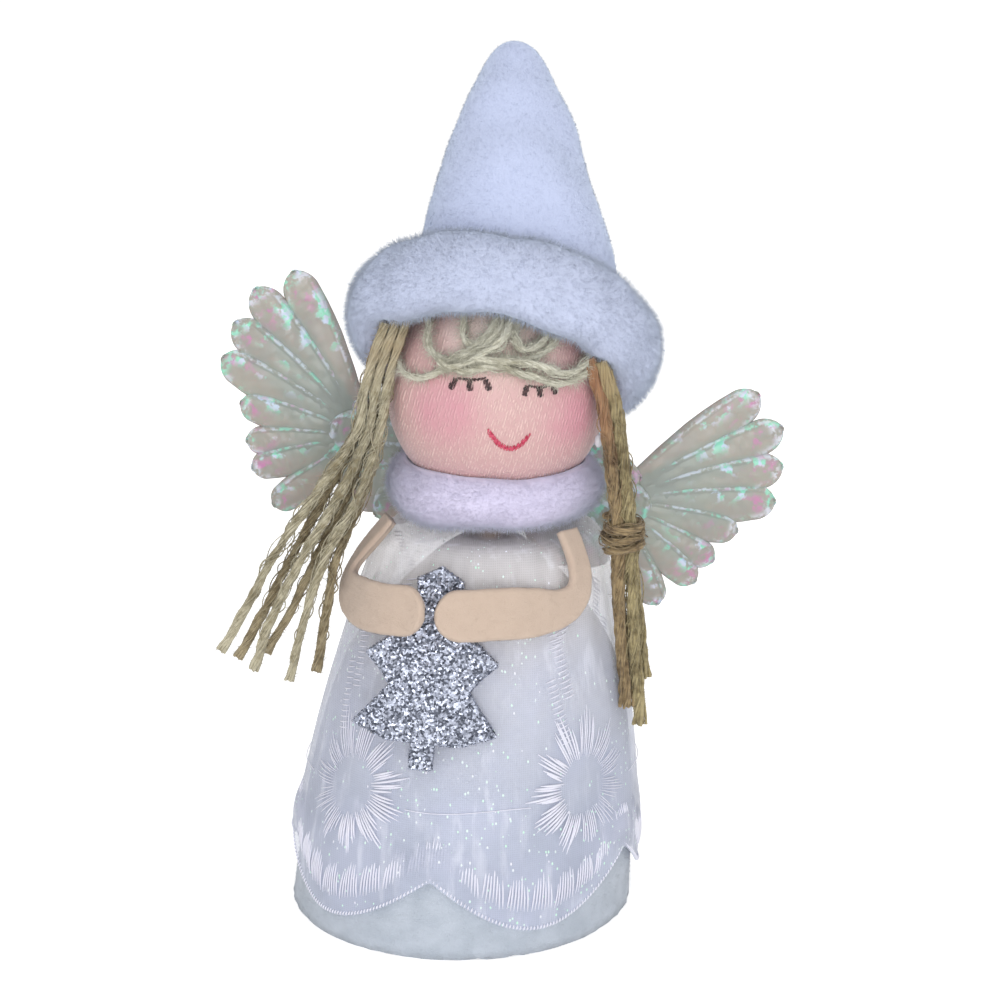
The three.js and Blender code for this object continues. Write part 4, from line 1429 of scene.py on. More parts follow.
@dataclass
class Head:
    """The foam ball in its satin cover, with the drawn face.

    A place on the face is given by degrees round and up. A stroke has a width and the share of it
    that its ends keep.
    """

    lashes: tuple[tuple[tuple[float, float], ...], ...] = (
        ((-21.6, 18.6), (-23.4, 15.4), (-24.4, 12.4)),
        ((-14.3, 18.4), (-14.0, 15.4), (-13.6, 12.3)),
        ((-6.0, 18.8), (-4.8, 15.8), (-3.6, 12.9)),
        ((16.2, 15.2), (14.9, 12.4), (13.9, 9.8)),
        ((22.3, 14.2), (22.5, 11.4), (22.9, 8.6)),
        ((29.6, 14.2), (30.8, 11.6), (31.8, 9.4)),
    )
    lids: tuple[tuple[tuple[float, float], ...], ...] = (
        ((-22.4, 18.6), (-17.5, 18.2), (-12.8, 18.1), (-8.3, 18.6), (-4.8, 19.8)),
        ((15.3, 15.6), (19.5, 14.2), (24.4, 13.8), (30.3, 14.6)),
    )
    smile: tuple[tuple[float, float], ...] = (
        (-4.6, -5.4), (-3.4, -8.6), (-0.8, -12.4), (2.6, -15.7), (7.6, -17.4), (12.4, -15.2),
        (15.4, -11.6), (18, -8.8),
    )
    cheeks: tuple[Point, ...] = ((-28, 1, 8.8), (44, -4, 9.4))
    # the middle and radius of the painted light on the brow, in the brim's shade
    lit_brow: Point = (2, 52, 13.5)
    gathered_below: float = 0.966
    satin: float = 0.45
    ink: float = 0.06
    lash: tuple[float, float] = (1.3, 0.75)
    lid: tuple[float, float] = (0.6, 0.3)
    lip: tuple[float, float] = (1.15, 0.55)

    def stroke(self, points: Sequence[tuple[float, float]], width: float, ends: float) -> Shape:
        """A flat stroke of ink on the satin.

        Args:
            points: The stroke's line, by degrees round and up.
            width: How wide it is.
            ends: The share of that width at its ends.

        Returns:
            The stroke, with its edge value in a layer.
        """
        steps = 23
        line = unit(Route([on_ball(*point) for point in points]).even(steps + 1))
        shape = bmesh.new()
        bmesh.ops.create_grid(shape, x_segments=steps, y_segments=6, size=1)
        edge = shape.verts.layers.float.new("edge")
        along = np.gradient(line, axis=0)
        for vert in shape.verts:
            s = (vert.co.x + 1) / 2
            k = min(int(round(s * steps)), steps)
            out = Vector(line[k])
            side = out.cross(Vector(along[k])).normalized()
            swell = ends + (1 - ends) * math.sin(math.pi * min(max(s, 0.02), 0.98)) ** 0.6
            ragged = 1 + 0.25 * noise.noise(Vector((s * 14, vert.co.y * 3, 1)))
            vert[edge] = (1 - abs(vert.co.y)) * min(1, 8 * s, 8 * (1 - s)) * 1.4
            shift = side * (vert.co.y * width / 2 * swell * ragged)
            vert.co = HEAD_MIDDLE + out * HEAD_RADIUS + shift
            vert.co = HEAD_MIDDLE + (vert.co - HEAD_MIDDLE).normalized() * (HEAD_RADIUS + self.ink)
        return shape

    def drawn(self, piece: Piece, strokes: Sequence[Shape]) -> bpy.types.Object:
        """Joins strokes into one piece."""
        return piece.shown(joined(piece.name, [finished_mesh("stroke", shape) for shape in strokes]))

    def build(self) -> None:
        """Makes the satin cover and draws the face."""
        shape = bmesh.new()
        bmesh.ops.create_uvsphere(shape, u_segments=96, v_segments=64, radius=HEAD_RADIUS)
        low = [vert for vert in shape.verts if vert.co.z < -self.gathered_below * HEAD_RADIUS]
        bmesh.ops.delete(shape, geom=low, context="VERTS")
        bmesh.ops.translate(shape, vec=HEAD_MIDDLE, verts=shape.verts)
        patches = (*self.cheeks, self.lit_brow)
        *cheeks, lit_brow = [(on_head(turn, lift) * MM, radius) for turn, lift, radius in patches]
        # pale is painted light for the brow in the brim's shade
        satin = Satin("face_satin", base=shade(208, 167, 166), light=shade(234, 200, 194),
                      rouge=shade(212, 144, 160), pale=shade(252, 232, 222), cheeks=tuple(cheeks), lit_brow=lit_brow)
        cover = Piece("satin_face", satin, "face_satin", ("face_cloth",))
        cover = cover.shown(finished_mesh("satin_face", shape))
        thickened(cover, self.satin)
        lashes = [self.stroke(line, *self.lash) for line in self.lashes]
        lashes += [self.stroke(line, *self.lid) for line in self.lids]
        eyes = self.drawn(Piece("drawn_lashes", LASH_INK, "face_satin"), lashes)
        lips = self.drawn(Piece("drawn_smile", LIP_INK, "face_satin"), [self.stroke(self.smile, *self.lip)])
        dressed("head_ball", FOAM)


@dataclass
class FurRing:
    """A rolled ring of fur, hollowed for the head."""

    name: str
    node: str
    ring: float
    half_width: float
    half_height: float
    head_gap: float
    coat: Fibres
    stray: Fibres
    at: Matrix
    finish: Finish
    channels: tuple[tuple[Vector, float], ...] = ()
    corners: int = 32
    steps: int = 120
    dents: float = 7
    dent_depth: float = 0.7
    cloth_shade: float = 0.35
    fur_gap: float = 0.4

    def build(self) -> None:
        """Makes the roll and the fur on it."""
        corners = [(self.ring + self.half_width * math.cos(t), self.half_height * math.sin(t))
                   for t in np.linspace(0, math.tau, self.corners + 1)]
        shape = spun(corners, self.steps)
        uneven(shape, self.dents, self.dent_depth, 3)
        bmesh.ops.transform(shape, matrix=self.at, verts=shape.verts)
        hollowed(shape, [(HEAD_MIDDLE, HEAD_RADIUS + self.head_gap), *self.channels])
        shape.normal_update()
        mesh = finished_mesh(self.name + "_cloth", shape)
        roll = Piece(self.name + "_cloth", self.finish, "fur", (self.node,)).shown(mesh)
        point_values(mesh, "tip", np.full(len(mesh.vertices), self.cloth_shade))
        clear = self.head_gap + self.fur_gap
        for kind, coat in (("fur", self.coat), ("long_hairs", self.stray)):
            name = f"{self.name}_{kind}"
            fur = coat.grown(name, mesh, lambda points: off_head(points, clear))
            Piece(name, self.finish, "fur").shown(fur)


def collar() -> FurRing:
    """Plans the fur collar.

    Returns:
        The ring, ready to build.
    """
    height = 71
    return FurRing(
        "collar", "fur_collar", ring=12.0, half_width=5.0, half_height=4.7, head_gap=0.3,
        coat=Fibres(30000, 1.2, 0.05, 0.4, 81, 8, (0, -0.1, -0.3), 0.98),
        stray=Fibres(3500, 2.0, 0.04, 0.8, 82, soft=0.9),
        at=Matrix.Translation((LEAN * height, 0, height)), finish=COLLAR_FUR,
    )


@dataclass
class Arms:
    """The two felt arms that leave the collar and meet in front."""

    top: float = 66
    front: float = 56
    width: float = 8
    felt: float = 1.5
    standoff: float = 7
    clear: float = 1.05
    folds: float = 0.7
    collar: float = 17
    slope: float = 16
    right: tuple[Point, ...] = (
        (-73, 0.6, 0.04), (-77, 0.3, 0.26), (-72, 0.02, 0.44), (-55, -0.06, 0.52), (-40, 0, 0.97),
        (-28, 0.06, 1),
    )
    left: tuple[Point, ...] = (
        (44, 0.6, 0.04), (46, 0.34, 0.06), (45, 0.1, 0.07), (40, -0.04, 0.09), (31, -0.08, 0.14),
        (17, -0.03, 0.26), (3, 0, 0.47), (-9, 0, 0.64),
    )
    narrow: float = 0.52
    widens: tuple[float, float] = (0.22, 0.66)
    rounding: float = 0.6
    steps: int = 240
    grid: tuple[int, int] = (130, 20)
    bend: int = 42
    twist: int = 36
    nap: Fibres = Fibres(9000, 0.26, 0.05, 1.1, 31, 1.2)

    def stations(self, shares: Sequence[Point], skirt: Overskirt) -> tuple[Route, Route]:
        """Lays out an arm from the collar to the hand.

        Args:
            shares: Its turns, heights and distances off the skirt.
            skirt: What it goes round.

        Returns:
            Its middle line and the way that it faces.
        """
        turn = shares[0][0]
        out = on_ball(turn, 0)
        places, facing = [Vector((LEAN * self.top, 0, self.top)) + out * self.collar], [out]
        for turn, height_share, off in shares:
            height = self.front + height_share * (self.top - self.front)
            radius = float(np.interp(height, skirt.heights, skirt.radii)) + self.folds + self.clear
            radius += off * (self.standoff - self.clear)
            places.append(Vector((LEAN * height, 0, height)) + on_ball(turn, 0) * radius)
            facing.append(on_ball(turn, self.slope * (1 - max(height_share, 0))))
        return Route(places), Route(facing)

    def strip(self, shares: Sequence[Point], skirt: Overskirt) -> Shape:
        """Cuts one arm from felt.

        Args:
            shares: Its turns, heights and distances off the skirt.
            skirt: What it goes round.

        Returns:
            The arm.
        """
        line, facing = self.stations(shares, skirt)
        half = self.width / 2
        middles = smoothed(line.even(self.steps), self.bend)
        along = unit(np.gradient(middles, axis=0))
        across = unit(smoothed(np.cross(along, facing.even(self.steps)), self.twist))
        full = line.length + half
        low, high = self.widens
        shape = bmesh.new()
        bmesh.ops.create_grid(shape, x_segments=self.grid[0], y_segments=self.grid[1], size=1)
        ends = []
        for vert in shape.verts:
            s = (1 - ((1 - vert.co.x) / 2) ** 1.6) * full
            v = math.sin(vert.co.y * math.pi / 2)
            k = min(int(s / line.length * (self.steps - 1)), self.steps - 1)
            grown = min(max((s / full - low) / (high - low), 0), 1)
            wide = half * (self.narrow + (1 - self.narrow) * grown * grown * (3 - 2 * grown))
            past = max(s - line.length, 0) / half
            wide *= math.sqrt(max(1 - past**2, 0.0004))
            inside = min((1 - abs(v)) * wide, (1 - past) * half) / self.rounding
            thick = self.felt / 2 * math.sqrt(1 - (1 - min(max(inside, 0), 1)) ** 2)
            ends.append(thick)
            vert.co = Vector(middles[k] + along[k] * past * half + across[k] * v * wide)
        bmesh.ops.recalc_face_normals(shape, faces=shape.faces)
        lower = [(vert, vert.normal.copy(), thick) for vert, thick in zip(shape.verts, ends)]
        risen = bmesh.ops.extrude_face_region(shape, geom=shape.faces[:], use_keep_orig=True)
        upper = [item for item in risen["geom"] if isinstance(item, bmesh.types.BMVert)]
        for vert, (_, normal, thick) in zip(upper, lower):
            vert.co += normal * thick
        for vert, normal, thick in lower:
            vert.co -= normal * thick
        bmesh.ops.remove_doubles(shape, verts=shape.verts, dist=0.004)
        bmesh.ops.recalc_face_normals(shape, faces=shape.faces)
        return shape

    def build(self) -> None:
        """Makes both arms and their nap."""
        skirt = Overskirt()
        for side, shares in (("right", self.right), ("left", self.left)):
            shape = self.strip(shares, skirt)
            shape.normal_update()
            uneven(shape, 3, 0.12, 5)
            mesh = finished_mesh(f"{side}_arm_felt", shape)
            Piece(f"{side}_arm_felt", ARM_FELT, "arm_felt", (f"{side}_arm",)).shown(mesh)
            Piece(f"{side}_arm_nap", ARM_FELT, "arm_felt").shown(self.nap.grown(f"{side}_arm_nap", mesh))


@dataclass
class Tree:
    """The glitter tree of craft foam."""

    flakes: int = 6500
    size: float = 0.27
    tilt: float = 0.38
    off: float = 0.1
    seed: int = 41
    corners: int = 6

    def build(self) -> None:
        """Dresses the foam and scatters loose flakes over it."""
        dressed("glitter_tree", GLITTER, 0.25)
        rng = np.random.default_rng(self.seed)
        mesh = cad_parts["glitter_tree"].data
        spots, outward = Fibres(self.flakes, 1, 1, 0, self.seed).places(mesh, rng, None)
        tilted = outward + rng.normal(0, self.tilt, outward.shape)
        first = unit(np.cross(tilted, rng.normal(0, 1, outward.shape)))
        tilted = outward + rng.normal(0, self.tilt, outward.shape)
        second = unit(np.cross(tilted, first))
        half = self.size / 2 * rng.uniform(0.6, 1.25, self.flakes)[:, None]
        middles = spots + self.off * outward
        turns = [k * math.tau / self.corners for k in range(self.corners)]
        rims = [half * (math.cos(turn) * first + math.sin(turn) * second) for turn in turns]
        corners = np.stack([middles + rim for rim in rims], axis=1)
        faces = np.arange(self.flakes * self.corners).reshape(-1, self.corners)
        scattered = bpy.data.meshes.new("tree_glitter_flakes")
        scattered.from_pydata((corners.reshape(-1, 3) * MM).tolist(), [], faces.tolist())
        Piece("tree_glitter_flakes", GLITTER, "glitter_foam").shown(scattered)


@dataclass
class Hat:
    """The pointed plush hat and the frame that it shares with its brim."""

    tilt: float = 36.7
    roll: float = 13.2
    seat: float = 7.5
    height: float = 44.2
    radius: float = 16.6
    plush: float = 1.3
    shift: float = 2
    lean_side: float = -9.8
    lean_back: float = -14.2
    middle: Point = (1, 3, 8.6)
    shares: Outline = ((1, 0.167), (0.9, 0.362), (0.82, 0.468), (0.66, 0.627), (0.42, 0.851),
                       (0.28, 0.945), (0.17, 0.985), (0.01, 1))
    rim: Outline = ((3, -4.9), (1.5, -2.1))
    steps: int = 96
    dents: float = 9
    dent_depth: float = 0.8
    pile_gap: float = 0.4
    cloth_shade: float = 0.4

    def frame(self) -> Matrix:
        """Works out the hat's own frame on the middle of its brim.

        Returns:
            The frame.
        """
        roll, tilt = math.radians(self.roll), math.radians(self.tilt)
        turned = Matrix.Rotation(roll, 4, "Y") @ Matrix.Rotation(-tilt, 4, "X")
        return Matrix.Translation(HEAD_MIDDLE + Vector(self.middle)) @ turned

    def shell(self) -> Shape:
        """Spins the cone's two walls and closes its rim.

        Returns:
            The cone, upright in the hat's own frame.
        """
        line = Route([(r * self.radius, 0, h * self.height) for r, h in self.shares]).even(44)
        outer = [(self.radius + out, self.seat + up) for out, up in self.rim]
        outer += [(max(x, 0), z) for x, _, z in line if z > self.seat]
        inner = [(r - self.plush, z - (0 if r > 8 else 0.8 * self.plush)) for r, z in outer
                 if r > self.plush + 0.6]
        shape = spun([*outer, (0, self.height)], self.steps)
        inside = spun([*inner, (0, inner[-1][1])], self.steps)
        bmesh.ops.reverse_faces(inside, faces=inside.faces)
        carrier = plain_mesh("hat_inside", inside)
        shape.from_mesh(carrier)
        bpy.data.meshes.remove(carrier)
        bmesh.ops.bridge_loops(shape, edges=[edge for edge in shape.edges if edge.is_boundary])
        return shape

    def build(self) -> None:
        """Makes the cone and its pile."""
        shape = self.shell()
        uneven(shape, self.dents, self.dent_depth, 7)
        side, back = self.lean_side / self.height, self.lean_back / self.height
        at = self.frame() @ Matrix(((1, 0, side, self.shift), (0, 1, back, 0), (0, 0, 1, 0), (0, 0, 0, 1)))
        bmesh.ops.transform(shape, matrix=at, verts=shape.verts)
        shape.normal_update()
        mesh = finished_mesh("hat_plush_cloth", shape)
        cone = Piece("hat_plush_cloth", PLUSH, "plush", ("hat_cone",)).shown(mesh)
        point_values(mesh, "tip", np.full(len(mesh.vertices), self.cloth_shade))
        up = (at.to_3x3() @ Vector((0, 0, 1))).normalized()
        pile = Fibres(60000, 0.5, 0.06, 0.5, 51, 7, tuple(-0.4 * up), 0.98)
        coat = pile.grown("hat_pile", mesh, lambda points: off_head(points, self.pile_gap))
        hairs = Piece("hat_pile", PLUSH, "plush").shown(coat)


def brim() -> FurRing:
    """Plans the hat's fur brim, with channels for the strands that pass under it.

    Returns:
        The ring, ready to build.
    """
    right = ((-8.9, -5.9, 101.4), (-10.2, -6.8, 96.5), (-12.7, -8.2, 89), (-14, -8, 83))
    left = ((20.6, -10.3, 96.2), (21.8, -10.5, 91.5), (23.3, -10.3, 87), (24.8, -10, 79))
    channels = [(Vector(point), 2.9) for point in right] + [(Vector(point), 2.2) for point in left]
    return FurRing(
        "brim", "hat_brim", ring=20.6, half_width=4.7, half_height=6.5, head_gap=1.8,
        coat=Fibres(44000, 1.2, 0.055, 0.4, 83, 9, (0, -0.1, -0.4), 0.98),
        stray=Fibres(4500, 2.3, 0.04, 0.8, 84, soft=0.9), at=Hat().frame(), finish=FUR,
        channels=tuple(channels),
    )


def beside(across: np.ndarray, first: np.ndarray, aside: np.ndarray, second: np.ndarray) -> np.ndarray:
    """Adds up distances along two directions at each point of a line."""
    return across[:, None] * first + aside[:, None] * second


@dataclass(frozen=True)
class Twine:
    """Jute twine: a core with thin plies of fibre wound slowly round it.

    The core, the plies and how far out they lie are shares of the diameter.
    """

    diameter: float = 1.4
    pitch: float = 17
    plies: int = 9
    hairs: int = 900
    hair: float = 1.25
    hair_width: float = 0.09
    wisps: int = 20
    stray: float = 1.3
    core: float = 0.36
    ply_at: float = 0.38
    ply: float = 1.3

    def mesh(self, name: str, lines: Sequence[np.ndarray], seed: int) -> bpy.types.Mesh:
        """Lays twine along lines.

        Args:
            name: The mesh's name.
            lines: The points of each strand's middle.
            seed: Which chance pattern.

        Returns:
            The plies and their loose hairs in one mesh.
        """
        rng = np.random.default_rng(seed)
        runs, widths = [], []
        for line in lines:
            first, second = frames_along(line)
            along = np.concatenate([[0], np.cumsum(np.linalg.norm(np.diff(line, axis=0), axis=1))])
            start = rng.uniform(0, math.tau)
            swell = 1 + 0.12 * np.sin(along / 4.1 + start) + 0.06 * np.sin(along / 1.7)
            runs.append(line)
            widths.append(self.core * self.diameter * swell)
            for ply in range(self.plies):
                turn = math.tau * (along / self.pitch + ply / self.plies) + start
                turn += 0.45 * np.sin(along / 2.9 + 2 * ply)
                frayed = 1 + rng.uniform(0, 0.9) * np.clip(along - along[-1] + 2.2, 0, 3) / 3
                offset = self.ply_at * self.diameter * swell * frayed
                offset *= 1 + 0.1 * np.sin(along / 2.3 + 5 * ply)
                runs.append(line + beside(offset * np.cos(turn), first, offset * np.sin(turn), second))
                wobble = 1 + 0.25 * np.sin(along * rng.uniform(0.8, 1.6) + 3 * ply)
                widths.append(self.ply * self.diameter / self.plies * wobble)
            for _ in range(self.wisps):
                count = len(line)
                begin = int(rng.integers(0, int(0.6 * count)))
                part = slice(begin, min(begin + int(rng.integers(count // 4, count // 2)), count))
                pace, phase = rng.uniform(0.25, 0.8, 2), rng.uniform(0, math.tau, 2)
                bow = np.sin(np.linspace(0, math.pi, part.stop - begin)) ** 0.5
                swing = self.stray * bow * rng.uniform(0.6, 1)
                across = swing * np.sin(along[part] * pace[0] + phase[0])
                aside = swing * np.cos(along[part] * pace[1] + phase[1])
                runs.append(line[part] + beside(across, first[part], aside, second[part]))
                widths.append(np.full(part.stop - begin, rng.uniform(0.06, 0.12)))
        twisted = strands_mesh(name + "_plies", runs, widths)
        coat = Fibres(self.hairs * len(lines), self.hair, self.hair_width, 1.5, seed, 0.9, soft=0.2)
        return joined(name, [twisted, coat.grown(name + "_hairs", twisted)])


@dataclass
class Hair:
    """The looped fringe and both pigtails of jute."""

    right: tuple[tuple[Point, ...], ...] = (
        ((-11.4, -7.5, 98.2), (-14.4, -9.1, 89), (-15.9, -9, 81.5), (-21.6, -9.4, 72.6),
         (-28.9, -10, 62), (-33.8, -10, 53), (-38.2, -9.8, 45.3)),
        ((-11.4, -5.6, 98.2), (-14.4, -7.2, 89), (-15.9, -7.1, 81.5), (-20.4, -7, 72),
         (-26.6, -7.6, 60.6), (-31.6, -7.6, 51), (-35.8, -7.6, 43.4)),
        ((-9.7, -7.5, 98.6), (-12.7, -9.1, 89), (-14.1, -9, 81.5), (-18.6, -9.8, 71.6),
         (-25.8, -10.6, 59.4), (-30.2, -10.8, 50.4), (-33, -10.8, 42.4)),
        ((-9.7, -5.6, 98.6), (-12.7, -7.2, 89), (-14.1, -7.1, 81.5), (-17.8, -7.6, 70.6),
         (-23.6, -8, 58.6), (-27.4, -8.2, 50.8), (-31.2, -8.6, 44.6)),
        ((-8, -7.6, 98.8), (-11, -9.2, 89), (-12.3, -9.1, 81.5), (-15.8, -10.2, 71), (-21, -11, 61.6),
         (-24.4, -11.4, 52), (-27.2, -11.8, 41)),
        ((-8, -5.7, 98.8), (-11, -7.3, 89), (-12.3, -7.2, 81.5), (-15.4, -8.1, 70.4), (-19.4, -9.2, 61),
         (-21.2, -9.8, 52), (-23, -10, 41.9)),
    )
    left: tuple[tuple[Point, ...], ...] = (
        ((20.2, -11.3, 93.4), (22.3, -11.2, 87), (23.9, -11, 78), (24.8, -10.7, 70),
         (25.2, -10.5, 64.8), (25.3, -10.6, 57), (25.8, -10.6, 47), (27, -10.4, 36.2)),
        ((22, -11.5, 93), (24.1, -11.3, 87), (25.7, -11, 78), (26.6, -10.7, 70), (27, -10.5, 64.8),
         (27.5, -10.5, 57), (28, -10.4, 47), (29.2, -10.2, 33)),
        ((20.4, -9.4, 93.6), (22.4, -9.3, 87), (23.9, -9.1, 78), (24.8, -8.8, 70), (25.2, -8.7, 64.8),
         (25.5, -8.5, 57), (26.2, -8.4, 47), (27.6, -8.2, 37)),
        ((22.2, -9.6, 93.2), (24.2, -9.4, 87), (25.7, -9.1, 78), (26.6, -8.8, 70), (27, -8.7, 64.8),
         (27.8, -8.6, 57), (29, -8.6, 48), (29.9, -8.4, 40.4)),
    )
    fringe: tuple[tuple[float, Outline], ...] = (
        (0.7, ((-78.8, 44), (-90, 33), (-72, 25.5), (-63.6, 21.2), (-53.5, 16.8), (-44.3, 15.8),
               (-36.7, 17.7), (-30, 20.9), (-22.9, 23.5), (-13.2, 25.5), (-5.2, 27.3))),
        (1.3, ((-55.6, 48.1), (-48.1, 41.6), (-42.9, 35.4), (-37.4, 29.7), (-30.9, 26.8), (-23.6, 26.9),
               (-17.2, 29.8), (-10.9, 34.2), (-4.3, 41.3), (1.7, 50.7))),
        (0.7, ((-26.1, 52.4), (-23, 45.2), (-20.9, 39.6), (-16.6, 35.5), (-11, 34.7), (-4.1, 37.5),
               (5.5, 43.5), (13.2, 50.5))),
        (2.0, ((11.5, 53.1), (6.5, 40.7), (-0.4, 33.4), (-8.6, 28.7), (-16.3, 24.4), (-23.9, 22.4),
               (-29.6, 24.4))),
        (1.5, ((4.2, 53.3), (2.8, 43.6), (-4, 35.9), (-12.2, 30.6), (-18.9, 26.2))),
        (1.2, ((-25.9, 23.8), (-16, 21.5), (-5.1, 23.8), (4.3, 23.8), (10.9, 20.8), (18.7, 18.9),
               (26.4, 15.4), (35.7, 14.5), (46.4, 16.4), (57.9, 20.6), (72.2, 25.4))),
        (1.9, ((-13.4, 27), (-0.4, 26.3), (11.3, 25.6), (21, 23.6), (30, 19.5), (38.5, 18.5),
               (48.2, 21.2), (54.9, 25.2), (61.9, 31.6))),
        (1.4, ((18.4, 51.6), (10.7, 39), (13.8, 32), (19.2, 32.3), (27.1, 35.4), (36.9, 44))),
        (0.9, ((1.8, 28.8), (13.7, 27), (21.4, 28.6), (32.4, 33.3), (42.5, 42.2))),
    )
    strand_points: int = 130
    loop_points: int = 70
    knot: Point = (26.1, -9.6, 64.8)
    knot_radius: float = 2.8
    knot_pitch: float = 1.65
    knot_turns: int = 3
    knot_points: int = 150
    twine: Twine = Twine()
    tail: Twine = Twine(2.1, 24, 13, 1000, 1.0, wisps=40, stray=1.3)
    thin: Twine = Twine(1.1, 12, 7, 700)
    loops: Twine = Twine(0.85, 9, 5, 1000, 2.3, 0.06, 14, 0.9)

    def pigtail(
        self, side: str, routes: Sequence[Sequence[Point]], twine: Twine, finishes: Sequence[Finish]
    ) -> None:
        """Makes each strand of a pigtail as a piece of its own.

        Args:
            side: The doll's side.
            routes: The strands' routes from under the brim to the cut end.
            twine: What the strands are made of.
            finishes: What they wear in turn.
        """
        for k, points in enumerate(routes, 1):
            route = Route(points)
            line = route.even(self.strand_points)
            name = f"{side}_pigtail_twine_{k}"
            mesh = twine.mesh(name, [line], 60 + k + 10 * len(side))
            finish = finishes[(k - 1) % len(finishes)]
            strand = Piece(name, finish, "jute", (f"{side}_pigtail_strand_{k}",)).shown(mesh)

    def tie(self) -> None:
        """Winds thin jute round the left pigtail."""
        turns = np.linspace(-self.knot_turns * math.pi, self.knot_turns * math.pi, self.knot_points)
        radius = self.knot_radius + 0.12 * np.sin(turns * 1.7)
        rise = turns * self.knot_pitch / math.tau + 0.2 * np.sin(turns * 0.8)
        winding = np.stack([radius * np.cos(turns), radius * np.sin(turns), rise], axis=1) + self.knot
        mesh = self.thin.mesh("pigtail_tie_twine", [winding], 97)
        Piece("pigtail_tie_twine", TAIL_JUTE, "jute", ("left_pigtail_tie",)).shown(mesh)

    def build(self) -> None:
        """Makes the pigtails, the tie and the fringe."""
        self.pigtail("right", self.right, self.twine, (JUTE, DEEP_JUTE))
        self.pigtail("left", self.left, self.tail, (TAIL_JUTE, PALE_TAIL_JUTE))
        self.tie()
        lines = []
        for off, places in self.fringe:
            flat = Route([(turn, lift, 0) for turn, lift in places]).even(self.loop_points)
            lines.append(np.array([on_head(turn, lift, off + 0.1) for turn, lift, _ in flat]))
        mesh = self.loops.mesh("fringe_twine", lines, 71)
        Piece("fringe_twine", FRINGE_JUTE, "fringe_jute", ("hair_fringe",)).shown(mesh)


def hill(value: float, top: float, reach: float) -> float:
    """A smooth bump of height 1 round a value."""
    return math.exp(-((value - top) / reach) ** 2)


@dataclass(frozen=True)
class Feather:
    """One puffed feather of a wing, in the wing's frame of across, up and back."""

    foot: tuple[float, float]
    direction: float
    length: float
    width: float
    layer: float
    puff: float = 0.5
    blunt: float = 0.9
    body: Outline = ((0, 0.5), (0.2, 0.72), (0.4, 0.9), (0.6, 1), (0.7, 0.99), (0.8, 0.94), (0.9, 0.84),
                     (1, 0.7))

    def shape(self, seed: int) -> Shape:
        """Puffs a grid into a feather.

        Args:
            seed: Which wrinkles.

        Returns:
            The feather, with the masks of its painted glints in layers: along its creases, at its tip and
            near its tip.
        """
        shape = bmesh.new()
        bmesh.ops.create_grid(shape, x_segments=64, y_segments=20, size=1)
        values = ("crease", "tip_glint", "sheen")
        for name in values:
            shape.verts.layers.float.new(name)
        crease, tip_glint, sheen = (shape.verts.layers.float[name] for name in values)
        angle = math.radians(self.direction)
        places, widths = zip(*self.body)
        for vert in shape.verts:
            share = 1 - ((1 - vert.co.x) / 2) ** 2.2
            v = vert.co.y
            s = share * self.length
            body = float(np.interp(share, places, widths))
            rounded = max(share - self.blunt, 0) ** 2 / (1 - self.blunt) ** 2
            wide = self.width / 2 * body * math.sqrt(max(1 - rounded, 0.0006))
            near_tip = max(0, (share - 0.7) / 0.3)
            ridge = hill(v, 0.74, 0.075) * min(1, max(share - 0.25, 0) * 6) * min(1, (1 - share) * 8)
            rim = max(hill(abs(v), 0.8, 0.16), hill(share, 0.955, 0.025)) * near_tip
            dome = self.puff * math.sqrt(max(1 - v * v, 0)) * min(1, (1 - share) * 7, 0.25 + share * 2)
            wrinkle = 0.14 * noise.noise(Vector((s * 1.3, v * 2, seed)))
            lift = dome + 0.3 * ridge + wrinkle * (1 - v * v) + 0.12 * rim
            # masks for the film's painted glints: along the creases, at the tip and near the tip
            vert[crease] = min(max(ridge, rim), 1)
            vert[tip_glint] = min(1, 1.6 * near_tip) * hill(v, 0, 0.55)
            vert[sheen] = min(max((share - 0.42) / 0.25, 0), 1) * hill(v, 0.5, 0.36)
            up = v * wide
            vert.co = Vector((self.foot[0] + s * math.cos(angle) - up * math.sin(angle), -self.layer - lift,
                              self.foot[1] + s * math.sin(angle) + up * math.cos(angle)))
        return shape


